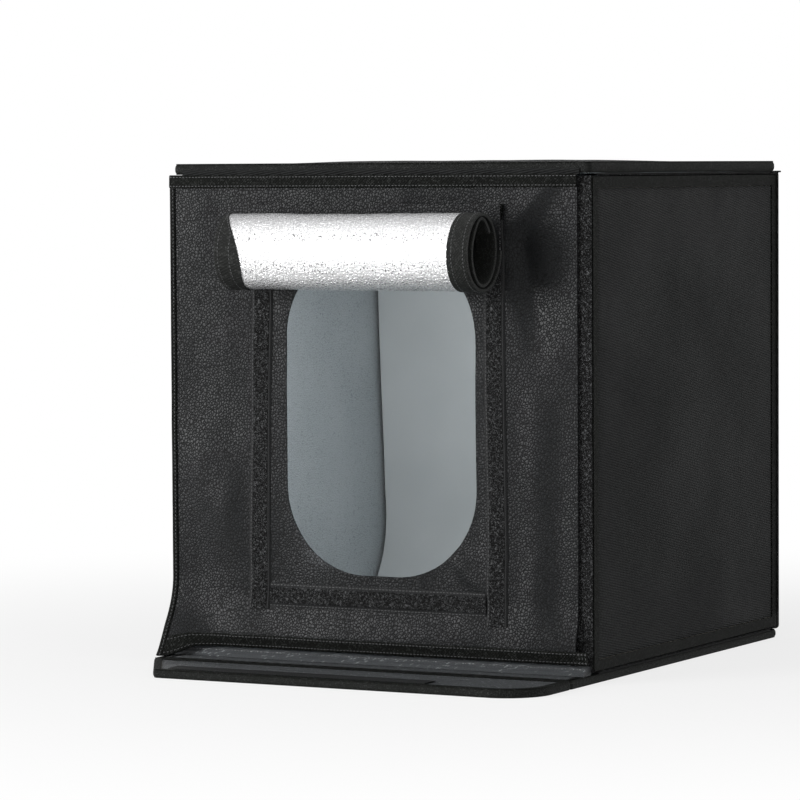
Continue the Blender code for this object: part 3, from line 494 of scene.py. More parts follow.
class Wires:
    """A node tree written from left to right: each call adds nodes and returns what comes out of them."""

    def __init__(self, tree):
        self.tree = tree

    def feed(self, node, feeds):
        for socket, value in feeds.items():
            if isinstance(value, bpy.types.NodeSocket):
                self.tree.links.new(value, node.inputs[socket])
            else:
                node.inputs[socket].default_value = value

    def add(self, kind, feeds=None, **settings):
        node = self.tree.nodes.new("ShaderNode" + kind)
        for name, value in settings.items():
            setattr(node, name, value)
        self.feed(node, feeds or {})
        return node.outputs

    def math(self, operation, *values):
        return self.add("Math", dict(enumerate(values)), operation=operation)[0]

    def times(self, first, second):
        return self.math("MULTIPLY", first, second)

    def scaled(self, value, factor, offset):
        return self.math("MULTIPLY_ADD", value, factor, offset)

    def wave(self, phase, turn):
        """The sine of a phase times the turn."""
        return self.math("SINE", self.times(phase, turn))

    def mix(self, share, *colours):
        """One colour over another by a share. A number is a grey, three numbers are red, green and blue."""
        feeds = {0: share}
        for socket, colour in zip((6, 7), colours):
            colour = (colour,) * 3 if isinstance(colour, float) else colour
            feeds[socket] = (*colour, 1.0) if isinstance(colour, tuple) else colour
        return self.add("Mix", feeds, data_type="RGBA")[2]

    def span(self, value, low, high, to_low=0.0, to_high=1.0):
        """A smooth step of the value between two levels."""
        feeds = {"Value": value, 1: low, 2: high, 3: to_low, 4: to_high}
        return self.add("MapRange", feeds, interpolation_type="SMOOTHSTEP")[0]

    def noise(self, place, scale, detail, output="Fac", **more):
        return self.add("TexNoise", {"Vector": place, "Scale": scale, "Detail": detail, **more})[output]

    def cells(self, place, scale, **settings):
        return self.add("TexVoronoi", {"Vector": place, "Scale": scale}, **settings)

    def chance(self, column, row):
        """A number by chance for each cell of a grid."""
        cell = self.add("CombineXYZ", {0: self.math("FLOOR", column), 1: self.math("FLOOR", row)})[0]
        return self.add("TexWhiteNoise", {"Vector": cell})["Value"]

    def use(self, effect, place, **sizes):
        return self.add("Group", {"Vector": place, **sizes}, node_tree=effect)

    def patch(self, place, size):
        return self.use(PATCHES, place, Size=size)[0]

    def parts(self, place):
        return self.add("SeparateXYZ", {0: place})

    def object_place(self):
        return self.add("TexCoord")["Object"]

    def cloth_place(self):
        return self.add("UVMap", uv_map="UVMap")[0]

    def stored(self, name):
        return self.add("Attribute", attribute_name=name)["Fac"]


def effect(name, wire, inputs, outputs):
    """A shader node group: the wire function gets what goes in, and returns the numbers that come out."""
    tree = bpy.data.node_groups.new(name, "ShaderNodeTree")
    for socket in ("Vector", *inputs):
        kind = "NodeSocketVector" if socket == "Vector" else "NodeSocketFloat"
        tree.interface.new_socket(socket, in_out="INPUT", socket_type=kind)
    for socket in outputs:
        tree.interface.new_socket(socket, in_out="OUTPUT", socket_type="NodeSocketFloat")
    given = tree.nodes.new("NodeGroupInput").outputs
    sink = tree.nodes.new("NodeGroupOutput")
    for socket, result in zip(outputs, wire(Wires(tree), given)):
        tree.links.new(result, sink.inputs[socket])
    return tree


def pebbles(w, given):
    """Grain of pressed leather: warped cells, high in the middle and creased between them."""
    share = w.math("DIVIDE", 1.0, given["Cell"])
    fitted = w.add("VectorMath", {0: given["Vector"], "Scale": share}, operation="SCALE")[0]
    warp = w.noise(fitted, 0.8, 2.0, "Color")
    bent = w.add("VectorMath", {0: warp, 1: (0.5, 0.5, 0.5), 2: fitted}, operation="MULTIPLY_ADD")[0]
    edge = w.cells(bent, 1.0, feature="DISTANCE_TO_EDGE")["Distance"]
    dome = w.scaled(w.span(edge, 0.0, 0.42), 0.30, w.times(w.span(edge, 0.0, 0.14), 0.55))
    return w.scaled(w.noise(fitted, 4.0, 3.0), 0.10, dome), w.span(edge, 0.01, 0.13, 1.0, 0.0)


def diagonal_weave(w, given):
    """Ribs of yarn floats: rows that slope across the cloth, cut into floats that start anywhere in them."""
    x, y, _ = w.parts(given["Vector"])
    row = w.math("DIVIDE", w.scaled(x, given["Slope"], y), given["Pitch"])
    start = w.add("TexWhiteNoise", {"W": w.math("FLOOR", row)}, noise_dimensions="1D")["Value"]
    shifted = w.math("ADD", start, w.math("DIVIDE", x, w.times(given["Pitch"], 2.4)))
    rib, dome = (w.wave(w.math("FRACT", phase), math.pi) for phase in (row, shifted))
    return w.times(rib, w.scaled(w.math("SQRT", dome), 0.4, 0.6)), w.chance(row, shifted)


def plain_weave(w, given):
    """Over and under: a wave across times a wave along, each crossing in its own shade, with fuzz."""
    x, y, _ = w.parts(given["Vector"])
    column, row = (w.math("DIVIDE", side, given["Pitch"]) for side in (x, y))
    woven = w.scaled(w.times(w.wave(column, math.pi), w.wave(row, math.pi)), 0.5, 0.5)
    fuzz = w.noise(given["Vector"], 1500.0, 3.0)
    return w.scaled(fuzz, 0.35, w.times(woven, 0.65)), fuzz, w.chance(column, row)


def looped_pile(w, given):
    """Curled loops of hook-and-loop tape: clumps of fine fibre, lighter where they catch the light."""
    fine = w.noise(given["Vector"], 620.0, 5.0, Roughness=0.8, Distortion=1.2)
    clumps = w.cells(given["Vector"], 420.0)["Distance"]
    return w.scaled(clumps, 0.5, w.times(fine, 0.8)), w.span(fine, 0.51, 0.63)


def patches(w, given):
    """Broad uneven patches, from handling and folding, from 0 to 1."""
    return (w.span(w.noise(given["Vector"], w.math("DIVIDE", 1.0, given["Size"]), 3.0), 0.3, 0.7),)


def spots(w, place, scale, bare, inner, outer):
    """Round spots as a mask: one in each cell of a jittered grid, but for the bare share of them."""
    cells = w.cells(place, scale)
    chosen = w.math("GREATER_THAN", w.add("SeparateColor", {0: cells["Color"]})[0], bare)
    return (w.times(chosen, w.span(cells["Distance"], inner, outer, 1.0, 0.0)),)


def pits(w, given):
    """Small round pits, one in most cells."""
    return spots(w, given["Vector"], 430.0, 0.25, 0.20, 0.34)


def flecks(w, given):
    """Sparse small specks as a mask: flecks of the board, and painted pinpoint highlights on the leather's
    pebbles.
    """
    return spots(w, given["Vector"], 400.0, 0.93, 0.05, 0.22)


GRAIN = effect("grain", pebbles, ["Cell"], ["Height", "Crease"])
DIAGONAL = effect("diagonal_weave", diagonal_weave, ["Pitch", "Slope"], ["Height", "Yarn"])
WEAVE = effect("plain_weave", plain_weave, ["Pitch"], ["Height", "Fuzz", "Yarn"])
PILE = effect("looped_pile", looped_pile, [], ["Height", "Tips"])
PATCHES = effect("patches", patches, ["Size"], ["Share"])
FLECKS_AND_GLINTS = effect("flecks", flecks, [], ["Mask"])
PITS = effect("pits", pits, [], ["Mask"])


def finish(name, wire, **constants):
    """A material: the wire function feeds its shader, and constants set the shader's own sockets."""
    made = bpy.data.materials.new(name)
    made.use_nodes = True
    w = Wires(made.node_tree)
    colour, roughness, height, depth = wire(w)
    bump = w.add("Bump", {"Height": height, "Distance": depth, "Strength": 1.0})[0]
    feeds = {socket.replace("_", " "): value for socket, value in constants.items()}
    feeds.update({"Base Color": colour, "Roughness": roughness, "Normal": bump})
    w.feed(made.node_tree.nodes["Principled BSDF"], feeds)
    return made


def leather(w):
    """Black pressed leather cloth: pebbles, greyer on their tops with painted shade in the creases between
    them, pale specks painted on as pinpoint highlights, and matt where it was handled.
    """
    place = w.object_place()
    grain = w.use(GRAIN, place, Cell=0.0026)
    # The creases between the pebbles are painted darker, as shade.
    base = w.mix(grain["Crease"], (0.0125, 0.0135, 0.0145), 0.0012)
    # Pale specks painted on as pinpoint highlights.
    base = w.mix(w.times(w.use(FLECKS_AND_GLINTS, place)[0], 0.3), base, (0.16, 0.17, 0.18))
    rough = w.scaled(w.patch(place, 0.09), 0.06, w.scaled(grain["Crease"], 0.25, 0.32))
    return base, rough, grain["Height"], 0.00034


def twill(w):
    """Black cloth of the panels: sloping ribs of yarn, a shade greyer yarn by yarn."""
    weave = w.use(DIAGONAL, w.cloth_place(), Pitch=0.0022, Slope=0.19)
    # The hollows between the ribs are painted nearly black, as shade.
    base = w.mix(weave["Height"], 0.001, (0.018, 0.019, 0.019))
    base = w.mix(w.times(weave["Yarn"], 0.22), base, (0.036, 0.038, 0.038))
    return base, w.scaled(w.patch(w.object_place(), 0.12), 0.1, 0.62), weave["Height"], 0.0008


def lip_cloth(w):
    """Black cloth of the closing flap: the same weave, shinier, with its rib tops painted a lighter grey as
    sheen, its hollows painted dark as shade, and glints painted light on some yarns.
    """
    weave = w.use(DIAGONAL, w.cloth_place(), Pitch=0.0013, Slope=0.5)
    painted_glint = w.span(weave["Yarn"], 0.86, 0.97)
    # The weave's hollows are painted dark, as shade, and its rib tops a lighter grey, as sheen.
    base = w.mix(weave["Height"], (0.022, 0.024, 0.026), (0.092, 0.099, 0.106))
    # Glints painted light on some yarn tops.
    base = w.mix(w.times(painted_glint, weave["Height"]), base, (0.32, 0.34, 0.35))
    return base, w.scaled(painted_glint, -0.15, 0.40), weave["Height"], 0.0006


def woven_tape(w):
    """Black tape: an over-and-under weave with its hollows painted dark as shade, a few yarns painted light
    where they catch the light, and its folded edges lighter, partly rubbed pale by use and partly as painted
    glints.
    """
    weave = w.use(WEAVE, w.cloth_place(), Pitch=0.0013)
    # The weave's hollows are painted dark, as shade, and a few yarns light, as glints.
    base = w.mix(weave["Height"], 0.001, (0.006, 0.007, 0.006))
    bright = w.times(w.span(weave["Yarn"], 0.55, 1.0), w.span(weave["Fuzz"], 0.46, 0.58))
    base = w.mix(bright, base, (0.050, 0.052, 0.050))
    # The stored edge mask paints the folded edges lighter: partly rubbed pale by use, partly painted glints
    # along the rim.
    edge_wear_and_glint = w.times(w.stored("edge_wear_and_glint"), w.span(weave["Fuzz"], 0.40, 0.60))
    base = w.mix(w.times(edge_wear_and_glint, 0.7), base, (0.150, 0.154, 0.152))
    base = w.mix(w.times(w.patch(w.object_place(), 0.03), 0.3), base, (0.006, 0.007, 0.005))
    return base, w.scaled(weave["Fuzz"], 0.2, 0.60), weave["Height"], 0.0007


def pile_tape(w):
    """Loop tape: fuzzy pile in the middle, flat woven selvedge at both sides, told by the pile mask."""
    pile = w.use(PILE, w.object_place())
    weave = w.use(WEAVE, w.cloth_place(), Pitch=0.0010)
    mask = w.stored("pile")
    # The pile's tips are painted light where they catch the light, and the selvedge's hollows dark, as shade.
    fuzzy = w.mix(pile["Tips"], 0.001, (0.150, 0.154, 0.158))
    flat = w.mix(weave["Height"], 0.004, (0.026, 0.027, 0.028))
    height = w.math("ADD", w.times(pile["Height"], mask), w.times(weave["Height"], 0.35))
    return w.mix(mask, flat, fuzzy), w.scaled(mask, 0.25, 0.55), height, 0.0011


def hook_tape(w):
    """Hook tape: rows of short stiff hooks."""
    weave = w.use(WEAVE, w.cloth_place(), Pitch=0.0012)
    # The weave's hollows are painted dark, as shade.
    base = w.mix(weave["Height"], 0.004, (0.034, 0.035, 0.036))
    return base, w.scaled(weave["Fuzz"], 0.2, 0.5), weave["Height"], 0.0008


def silver_grain(w):
    """Silver-grey lining with a fine leather grain, shinier on its pebbles."""
    place = w.object_place()
    grain = w.use(GRAIN, place, Cell=0.0021)
    # The creases between the pebbles are painted darker, as shade.
    base = w.mix(grain["Crease"], (0.42, 0.46, 0.48), (0.26, 0.29, 0.31))
    base = w.mix(w.times(w.patch(place, 0.10), 0.4), base, (0.50, 0.54, 0.56))
    return base, w.scaled(grain["Crease"], 0.25, 0.38), grain["Height"], 0.0004


def foil(w):
    """Silver foil on the door: pressed pebbles with painted shade in their creases, its upper side painted a
    duller grey as shade, and its dimples painted dark, as shade, in three rows round the roll.
    """
    place = w.cloth_place()
    grain, fine = (w.use(GRAIN, place, Cell=cell) for cell in (0.0030, 0.0014))
    along = w.parts(place)["Y"]
    # Three rows round the roll where the dimples will be painted dark, as shade.
    bent = 0.0
    for shaded_row, half in FOIL_SHADED_DIMPLE_ROWS:
        apart = w.math("ABSOLUTE", w.math("SUBTRACT", along, shaded_row))
        bent = w.math("MAXIMUM", bent, w.span(apart, half * 0.4, half, 1.0, 0.0))
    # From just above the front over the top, the roll is painted a duller grey, as shade.
    base = w.mix(w.span(along, *FOIL_SHADED_TOP_SPAN), (0.88, 0.88, 0.89), (0.56, 0.56, 0.57))
    # The creases between the pebbles are painted darker, as shade.
    base = w.mix(w.times(grain["Crease"], 0.25), base, 0.30)
    # The dimples in those rows are painted dark, as shade.
    base = w.mix(w.times(bent, w.use(PITS, place)[0]), base, 0.06)
    height = w.scaled(fine["Height"], 0.3, grain["Height"])
    return base, w.scaled(grain["Crease"], 0.1, 0.24), height, 0.00045


def smooth_sheet(w):
    """Grey backdrop: smooth, faintly mottled, with a trace of scuffing."""
    place = w.object_place()
    fine = w.noise(place, 1400.0, 2.0)
    base = w.mix(w.patch(place, 0.16), (0.40, 0.43, 0.44), (0.46, 0.49, 0.50))
    return base, w.scaled(fine, 0.12, 0.46), fine, 0.00006


def thread(w):
    """Sewing thread: two plies that catch the light in turn."""
    x, y, _ = w.parts(w.cloth_place())
    share = w.scaled(w.wave(w.math("ADD", x, y), 9000.0), 0.5, 0.5)
    base = w.mix(share, (0.020, 0.020, 0.021), (0.150, 0.152, 0.156))
    return base, w.scaled(share, -0.1, 0.48), share, 0.00008


def worn_thread(w):
    """Thread rubbed pale on the edges that lie on the table, in small specks."""
    rubbed = w.span(w.noise(w.object_place(), 520.0, 3.0), 0.46, 0.62)
    base = w.mix(rubbed, (0.060, 0.062, 0.064), (0.400, 0.408, 0.416))
    return base, w.scaled(rubbed, 0.1, 0.5), rubbed, 0.00005


def pressed_board(w):
    """Grey-brown paperboard with long fibres and flecks."""
    place = w.object_place()
    fibre = w.noise(place, 420.0, 5.0, Distortion=2.0)
    base = w.mix(fibre, (0.36, 0.33, 0.28), (0.52, 0.49, 0.43))
    base = w.mix(w.use(FLECKS_AND_GLINTS, place)[0], base, (0.20, 0.17, 0.13))
    return base, w.scaled(fibre, 0.1, 0.82), fibre, 0.00015


def drawn_aluminium(w):
    """Drawn aluminium: fine lines along the bar."""
    stretched = w.add("Mapping", {"Vector": w.object_place(), "Scale": (12.0, 2600.0, 2600.0)})[0]
    lines = w.noise(stretched, 1.0, 2.0)
    base = w.mix(lines, (0.66, 0.67, 0.69), (0.80, 0.81, 0.83))
    return base, w.scaled(lines, 0.18, 0.26), lines, 0.00003


def lamp_board(w):
    """White lacquered board with faint track lines under the lacquer."""
    line = w.span(w.wave(w.parts(w.object_place())["Y"], 2100.0), 0.75, 0.95)
    base = w.mix(w.times(line, 0.35), (0.82, 0.83, 0.80), (0.62, 0.66, 0.60))
    return base, w.scaled(line, 0.1, 0.32), line, 0.00004


def lamp_gel(w):
    """Yellow gel of a lamp, with grains of phosphor."""
    grains = w.noise(w.object_place(), 3000.0, 2.0)
    base = w.mix(grains, (0.80, 0.62, 0.16), (0.92, 0.80, 0.34))
    return base, w.scaled(grains, 0.1, 0.22), grains, 0.00003


def moulded_black(w):
    """Black moulded plastic with a fine spark-eroded texture."""
    fine = w.noise(w.object_place(), 2400.0, 3.0)
    base = w.mix(fine, (0.018, 0.018, 0.019), (0.032, 0.032, 0.034))
    return base, w.scaled(fine, 0.15, 0.42), fine, 0.00006


LEATHER = finish("cover_leather", leather, Specular_IOR_Level=0.15)
CLOTH = finish("panel_cloth", twill, Specular_IOR_Level=0.10)
LIP_CLOTH = finish("flap_cloth", lip_cloth, Specular_IOR_Level=0.32)
TAPE = finish("woven_tape", woven_tape, Specular_IOR_Level=0.08)
LOOP_TAPE = finish("loop_tape", pile_tape, Specular_IOR_Level=0.14)
HOOK_TAPE = finish("hook_tape", hook_tape, Specular_IOR_Level=0.14)
DOOR_TAPE = finish("door_tape", woven_tape, Specular_IOR_Level=0.20)
LINING = finish("silver_lining", silver_grain, Metallic=0.25)
FOIL = finish("silver_foil", foil, Metallic=0.92)
BACKDROP = finish("backdrop_sheet", smooth_sheet)
THREAD = finish("sewing_thread", thread)
PALE_THREAD = finish("worn_thread", worn_thread)
BOARD = finish("pressed_board", pressed_board)
ALUMINIUM = finish("drawn_aluminium", drawn_aluminium, Metallic=1.0)
LAMP_BOARD = finish("lamp_board", lamp_board)
LAMP_GEL = finish("lamp_gel", lamp_gel)
PLASTIC = finish("moulded_black", moulded_black)


# Padded panels

def fold_profile(width, depth):
    """Insets and levels round a tape folded over an edge: out along the outer face, round, back along the
    inner face, then home on the tape's hidden side. It dips at the seam and swells between seam and edge."""
    turn = np.linspace(math.pi / 2, -math.pi / 2, 13)
    soft = min(depth * 0.42, width * 0.45)
    flat = np.linspace(width, soft, 11)
    seam = width - SEAM_INSET
    dip = -SEAM_DIP * np.exp(-(((flat - width + SEAM_INSET) / SEAM_DIP_WIDTH) ** 2))
    swell = TAPE_SWELL * np.sin(np.pi * np.clip((seam - flat) / (seam - soft), 0, 1))
    level = dip + swell - TAPE_LIP * np.exp(-(width - flat) / TAPE_LIP_WIDTH)
    round_inset = soft - soft * np.cos(turn) ** 0.8
    round_level = (blunt(np.sin(turn), 0.8) - 1) * depth / 2
    path = np.stack([np.concatenate([flat, round_inset[1:-1], flat[::-1]]),
                     np.concatenate([level, round_level[1:-1], -depth - level[::-1]])], axis=1)
    along = unit(np.gradient(path, axis=0))
    hidden = path + np.stack([-along[:, 1], along[:, 0]], axis=1) * -TAPE_THICKNESS
    hidden[:, 0] = np.clip(hidden[:, 0], TAPE_THICKNESS, width)
    return np.concatenate([path, hidden[::-1]]), len(path)


def edge_tape(panel, body, facing, corners, radii, levels, width):
    """Tape sewn round a panel's edge, with stitches on both faces."""
    low, high = levels
    profile, outer = fold_profile(width, high - low)
    ring = outline_ring(corners, radii, profile[:, 0])
    along = travelled(np.concatenate([ring[:, 0], ring[:1, 0]]))
    wave = ripples(along[:-1, None], profile[None, :, 1] * 2, 0.011, 7) * TAPE_RIPPLE
    wave[:, [0, outer - 1]] *= 0.3
    level = high + profile[None, :, 1] + np.where(np.arange(len(profile)) < outer, wave, 0)
    level = np.clip(level, low, high + (0 if facing == "down" else TAPE_HEADROOM))
    points = placed(facing, ring, level)
    round_it = travelled(np.concatenate([profile, profile[:1]]))
    piece = swept(panel + "_edge_tape", points[:, ::-1], lattice(round_it, along)[:, ::-1, ::-1])
    shown = np.arange(len(profile)) >= len(profile) - outer
    # The folded outer edge is marked to be painted lighter: partly rubbed pale by use, partly painted glints.
    edge_wear_and_glint_share = np.clip(1 - profile[::-1, 0] / EDGE_WEAR_AND_GLINT_WIDTH, 0, 1) * shown
    mark(piece, "edge_wear_and_glint", np.broadcast_to(edge_wear_and_glint_share[None] * PANEL_EDGE_WEAR_AND_GLINT, points.shape[:2]))
    dress(piece, body, "tape", TAPE, panel + "_binding")
    out = np.array(FACING[facing][2], float)
    seam = outline_ring(corners, radii, [width - SEAM_INSET])[:, 0]
    seam = np.concatenate([seam, seam[:1]])
    lines = [(placed(facing, seam, face - side * SEAM_SINK), side * out)
             for face, side in ((high, 1), (low, -1))]
    stitching(panel + "_edge_tape_stitches", body, lines, pale=body == "closing_flap")


def panel_cloth(name, body, facing, node, face, crown, cloth, slot, seed, calm=1.0):
    """A cloth stretched over a panel's face: it rises from under the tape, swells to its crown, and has
    puckers that fade away from the seams and slack waves that grow towards the middle."""
    corners, _ = face_of(node, facing)
    (left, bottom), (right, top) = corners[0], corners[2]
    flat = lattice(*(np.linspace(low, high, max(int((high - low) / SHEET_STEP), 4))
                     for low, high in ((left, right), (bottom, top))))
    x, y = flat[..., 0], flat[..., 1]
    edge = from_edge(x, y, left, bottom, right, top)
    dome = np.sin(np.pi * (x - left) / (right - left)) * np.sin(np.pi * (y - bottom) / (top - bottom))
    rise = UNDER_TAPE * (1 - np.exp(-edge / 0.0035)) - UNDER_TAPE
    pucker = ripples(x, y, 0.009, seed) * np.exp(-edge / 0.014) * PUCKER_HEIGHT
    slack = (ripples(x, y, 0.085, seed + 1) * SLACK_HEIGHT
             + ripples(x, y, 0.034, seed + 2) * FINE_SLACK_HEIGHT)
    relief = rise + (pucker + slack * ease(edge / 0.05)) * calm * ease(edge / 0.004) + crown * dome
    if crown == 0:
        relief = np.minimum(relief, 0)
    piece = sheet_piece(name, placed(facing, flat, face + relief), flat, CLOTH_THICKNESS)
    dress(piece, body, slot, cloth, node)


def padded_panel(body, facing, radii, crown, seed):
    """Cloth outside, silver lining inside and the tape round the edge of one panel."""
    corners, (low, high) = face_of(body + "_binding", facing)
    inside = INWARDS[facing]
    panel_cloth(body + "_cloth", body, facing, body + "_skin", high, crown, CLOTH, "cloth", seed)
    panel_cloth(body + "_lining_cloth", body, inside, body + "_lining", -low, LINING_CROWN, LINING, "lining",
                seed + 5)
    edge_tape(body, body, facing, corners, radii, (low, high), BINDING_WIDTH)


def floor_panel():
    """The floor: flat cloth underneath, silver lining inside, black cloth on the lip, and its edge tape."""
    corners, (low, high) = face_of("floor_binding", "down")
    panel_cloth("floor_cloth", "floor", "down", "floor_skin", high, 0, CLOTH, "cloth", 41, calm=0.3)
    panel_cloth("floor_lining_cloth", "floor", "up", "floor_lining", -low, 0, LINING, "lining", 45, calm=0.5)
    panel_cloth("floor_lip_cloth", "floor", "up", "floor_lip_skin", -low, 0, LIP_CLOTH, "cloth", 49, calm=0.5)
    radii = (FLOOR_BACK_RADIUS,) * 2 + (WALL_CORNER_RADIUS,) * 2
    edge_tape("floor", "floor", "down", corners, radii, (low, high), BINDING_WIDTH)


def padded_sill():
    """The padded roll at the foot of the opening: flat top, round front with a sewn crease, puckered."""
    low, high = corners_of("front_sill")
    depth, height = high[1] - low[1], high[2] - low[2]
    shoulder = low[1] + depth * SILL_ROUND_SHARE
    angle = np.linspace(0, math.pi / 2, 17)
    front = low[1] + depth * SILL_ROUND_SHARE * (1 - np.sin(angle))
    level = low[2] + height * np.cos(angle)
    apart = (np.degrees(angle) - SILL_CREASE_DEGREES) / SILL_CREASE_WIDTH
    crease = np.exp(-(apart ** 2)) * SILL_CREASE_DEPTH
    outline = np.concatenate([
        np.stack([np.linspace(high[1], shoulder, 5)[:-1], np.full(4, high[2])], axis=1),
        np.stack([front + crease * np.sin(angle), level - crease * np.cos(angle)], axis=1),
        np.stack([np.linspace(low[1], high[1], 7)[1:], np.full(6, low[2])], axis=1),
    ])
    across = np.arange(low[0] + CLEARANCE, high[0], 0.0025)
    slack = ripples(across[:, None], np.arange(len(outline))[None] * 0.004, 0.013, 71) * 0.00028
    slack[:, 4 + len(angle):] = 0
    slack[:, 0] = 0
    inwards = np.array([depth * 0.5 + low[1], low[2] + height * 0.3]) - outline
    section = outline[None] + unit(inwards)[None] * np.abs(slack)[..., None]
    piece = swept("sill_cloth", spread(across[:, None], section))
    dress(piece, "floor", "cloth", LIP_CLOTH, "front_sill")
    seam_y, seam_z = outline[11]
    seam = np.stack([across, np.full(len(across), seam_y - 0.0001), np.full(len(across), seam_z)], axis=1)
    stitching("sill_stitches", "floor", [(seam, (0, -0.75, 0.65))], pale=True)


def closing_flap():
    """The flap on the table: two cloths, the tape round it and its rows of stitches."""
    corners, (low, high) = face_of("flap_binding", "up")
    (left, front), (right, back) = corners[0], corners[2]
    outline = np.array([(left, back), (left + FLAP_LEFT_CUT, front), (right, front), (right, back)])
    radii = (0.0015, FLAP_LEFT_RADIUS, FLAP_RIGHT_RADIUS, 0.0015)
    inset = FLAP_BINDING_WIDTH + CLEARANCE
    middle = outline.mean(axis=0)
    ring = outline_ring(outline, radii, [inset], SHEET_STEP)[:, 0]
    share = np.linspace(1, 0, 22)[:, None, None]
    edge = (1 - share[..., 0]) * np.linalg.norm(ring - middle, axis=1)[None] * 0.5
    for name, facing, node, cloth, level, seed in (
        ("flap_top_cloth", "up", "flap_top_skin", LIP_CLOTH, high, 61),
        ("flap_under_cloth", "down", "flap_bottom_skin", CLOTH, -low, 65),
    ):
        flat = middle + (ring - middle)[None] * share
        if facing == "down":
            flat = flat[:, ::-1] * (1, -1)
        bumps = ripples(flat[..., 0], flat[..., 1], 0.022, seed) * 0.0003
        relief = -0.0004 * np.exp(-edge / 0.003) + np.minimum(bumps - 0.0003, 0) * ease(edge / 0.006)
        points = placed(facing, flat, level + relief)
        piece = sheet_piece(name, points, flat, CLOTH_THICKNESS, wrap=True, weld=True)
        dress(piece, "closing_flap", "cloth", cloth, node)
    edge_tape("flap", "closing_flap", "up", outline, radii, (low, high), FLAP_BINDING_WIDTH)


# Flat tapes

def tape_points(low, high):
    """A flat tape that fills a box: its long side is the path, its middle side the width, its thin side the
    thickness. Its edges are rounded and it waves a little across."""
    size, middle = high - low, (low + high) / 2
    thin, wide, long = np.argsort(size)
    angle = once_round(28)
    path = np.linspace(low[long], high[long], max(int(size[long] / PATH_STEP), 3) + 1)[:, None]
    points = np.zeros((len(path), len(angle), 3))
    points[..., long] = path
    points[..., wide] = middle[wide] + blunt(np.cos(angle), 0.35) * size[wide] / 2 * (
        1 - 0.04 * (1 + ripples(path, path * 0, 0.03, 91)))
    points[..., thin] = middle[thin] + blunt(np.sin(angle), 0.5) * size[thin] / 2
    return points[:, ::-1] if np.linalg.det(np.eye(3)[[wide, thin, long]]) < 0 else points


def flat_tape(node, body, tape, *boxes):
    """One or more flat tapes as a single piece, with the pile mask of hook-and-loop tape."""
    name = node + "_tape"
    mesh = bpy.data.meshes.new(name)
    joined = bmesh.new()
    for box in boxes:
        part = swept(name + "_part", tape_points(*box))
        joined.from_mesh(part.data)
        bpy.data.objects.remove(part)
    bmesh.ops.recalc_face_normals(joined, faces=joined.faces)
    joined.to_mesh(mesh)
    joined.free()
    mesh.set_sharp_from_angle(angle=SHARP_ANGLE)
    piece = in_scene(name, mesh)
    mark(piece, "pile", np.ones(len(mesh.vertices)))
    dress(piece, body, "tape", tape, node)


def hidden_tapes():
    """The hook-and-loop tapes that close the edges, and the pad and the tab's tape inside."""
    for body, tape, nodes in (
        ("floor", HOOK_TAPE, ("floor_left_hook_strip", "floor_right_hook_strip")),
        ("floor", LOOP_TAPE, ("hem_loop_strip",)),
        ("closing_flap", HOOK_TAPE, ("flap_hook_strip",)),
        ("back_wall", LOOP_TAPE, ("backdrop_top_strip",)),
        ("roof", HOOK_TAPE, ("roof_left_hook_strip", "roof_right_hook_strip")),
        ("front_cover", HOOK_TAPE, ("cover_left_hook_strip", "cover_right_hook_strip")),
        ("roof", HOOK_TAPE, ("light_pad",)),
        ("left_wall", LOOP_TAPE, ("left_wall_front_tape",)),
        ("right_wall", LOOP_TAPE, ("right_wall_front_tape",)),
    ):
        for node in nodes:
            flat_tape(node, body, tape, corners_of(node))
    for wall in ("left_wall", "right_wall"):
        (left, front, foot), (right, back, top) = low, high = corners_of(wall + "_loop_strip")
        foot_top, top_foot = foot + WALL_STRIP_THICKNESS, top - WALL_STRIP_THICKNESS
        flat_tape(wall + "_loop_strip", wall, LOOP_TAPE,
                  (low, np.array([right, back, foot_top])), (np.array([left, front, top_foot]), high),
                  (np.array([left, back - WALL_STRIP_THICKNESS, foot_top]),
                   np.array([right, back, top_foot])))


def cloth_hinge(node, body, path, radius):
    """A rolled fold of cloth along a crease, lumpy where it is caught by the seam."""
    angle = once_round(12)
    forward = unit(np.gradient(path, axis=0))
    side = unit(np.cross(forward, unit(np.array([1.0, 1.3, 0.8]))))
    upward = np.cross(forward, side)
    swell = radius * (0.90 + 0.09 * ripples(travelled(path)[:, None], angle[None] * 0.002, 0.006, 97))
    points = (path[:, None] + side[:, None] * (np.cos(angle) * swell)[..., None]
              + upward[:, None] * (np.sin(angle) * swell)[..., None])
    dress(swept(node + "_fold", points, weld=True), body, "cloth", CLOTH, node)


def creases():
    """Cloth hinges in the creases: two run straight across, and one up, over and down by the back wall."""
    for node in ("floor_hinge_welt", "flap_hinge_welt"):
        low, high = corners_of(node)
        middle = (low + high) / 2
        path = evenly(np.array([(x, *middle[1:]) for x in (low[0], high[0])]), 0.0035)
        cloth_hinge(node, "floor", path, (high[2] - low[2]) / 2)
    low, high = corners_of("back_wall_hinge_welt")
    x, z, foot = high[0] - BACK_WELT_RADIUS, high[2] - BACK_WELT_RADIUS, low[2]
    near, far = low[1] + BACK_WELT_RADIUS, high[1] - BACK_WELT_RADIUS
    route = np.array([(-x, near, foot), (-x, near, z), (-x, far, z),
                      (x, far, z), (x, near, z), (x, near, foot)])
    path = evenly(rounded_path(route, (BACK_WELT_CORNER,) * 4, 6), BACK_WELT_CORNER)
    cloth_hinge("back_wall_hinge_welt", "back_wall", path, BACK_WELT_RADIUS)


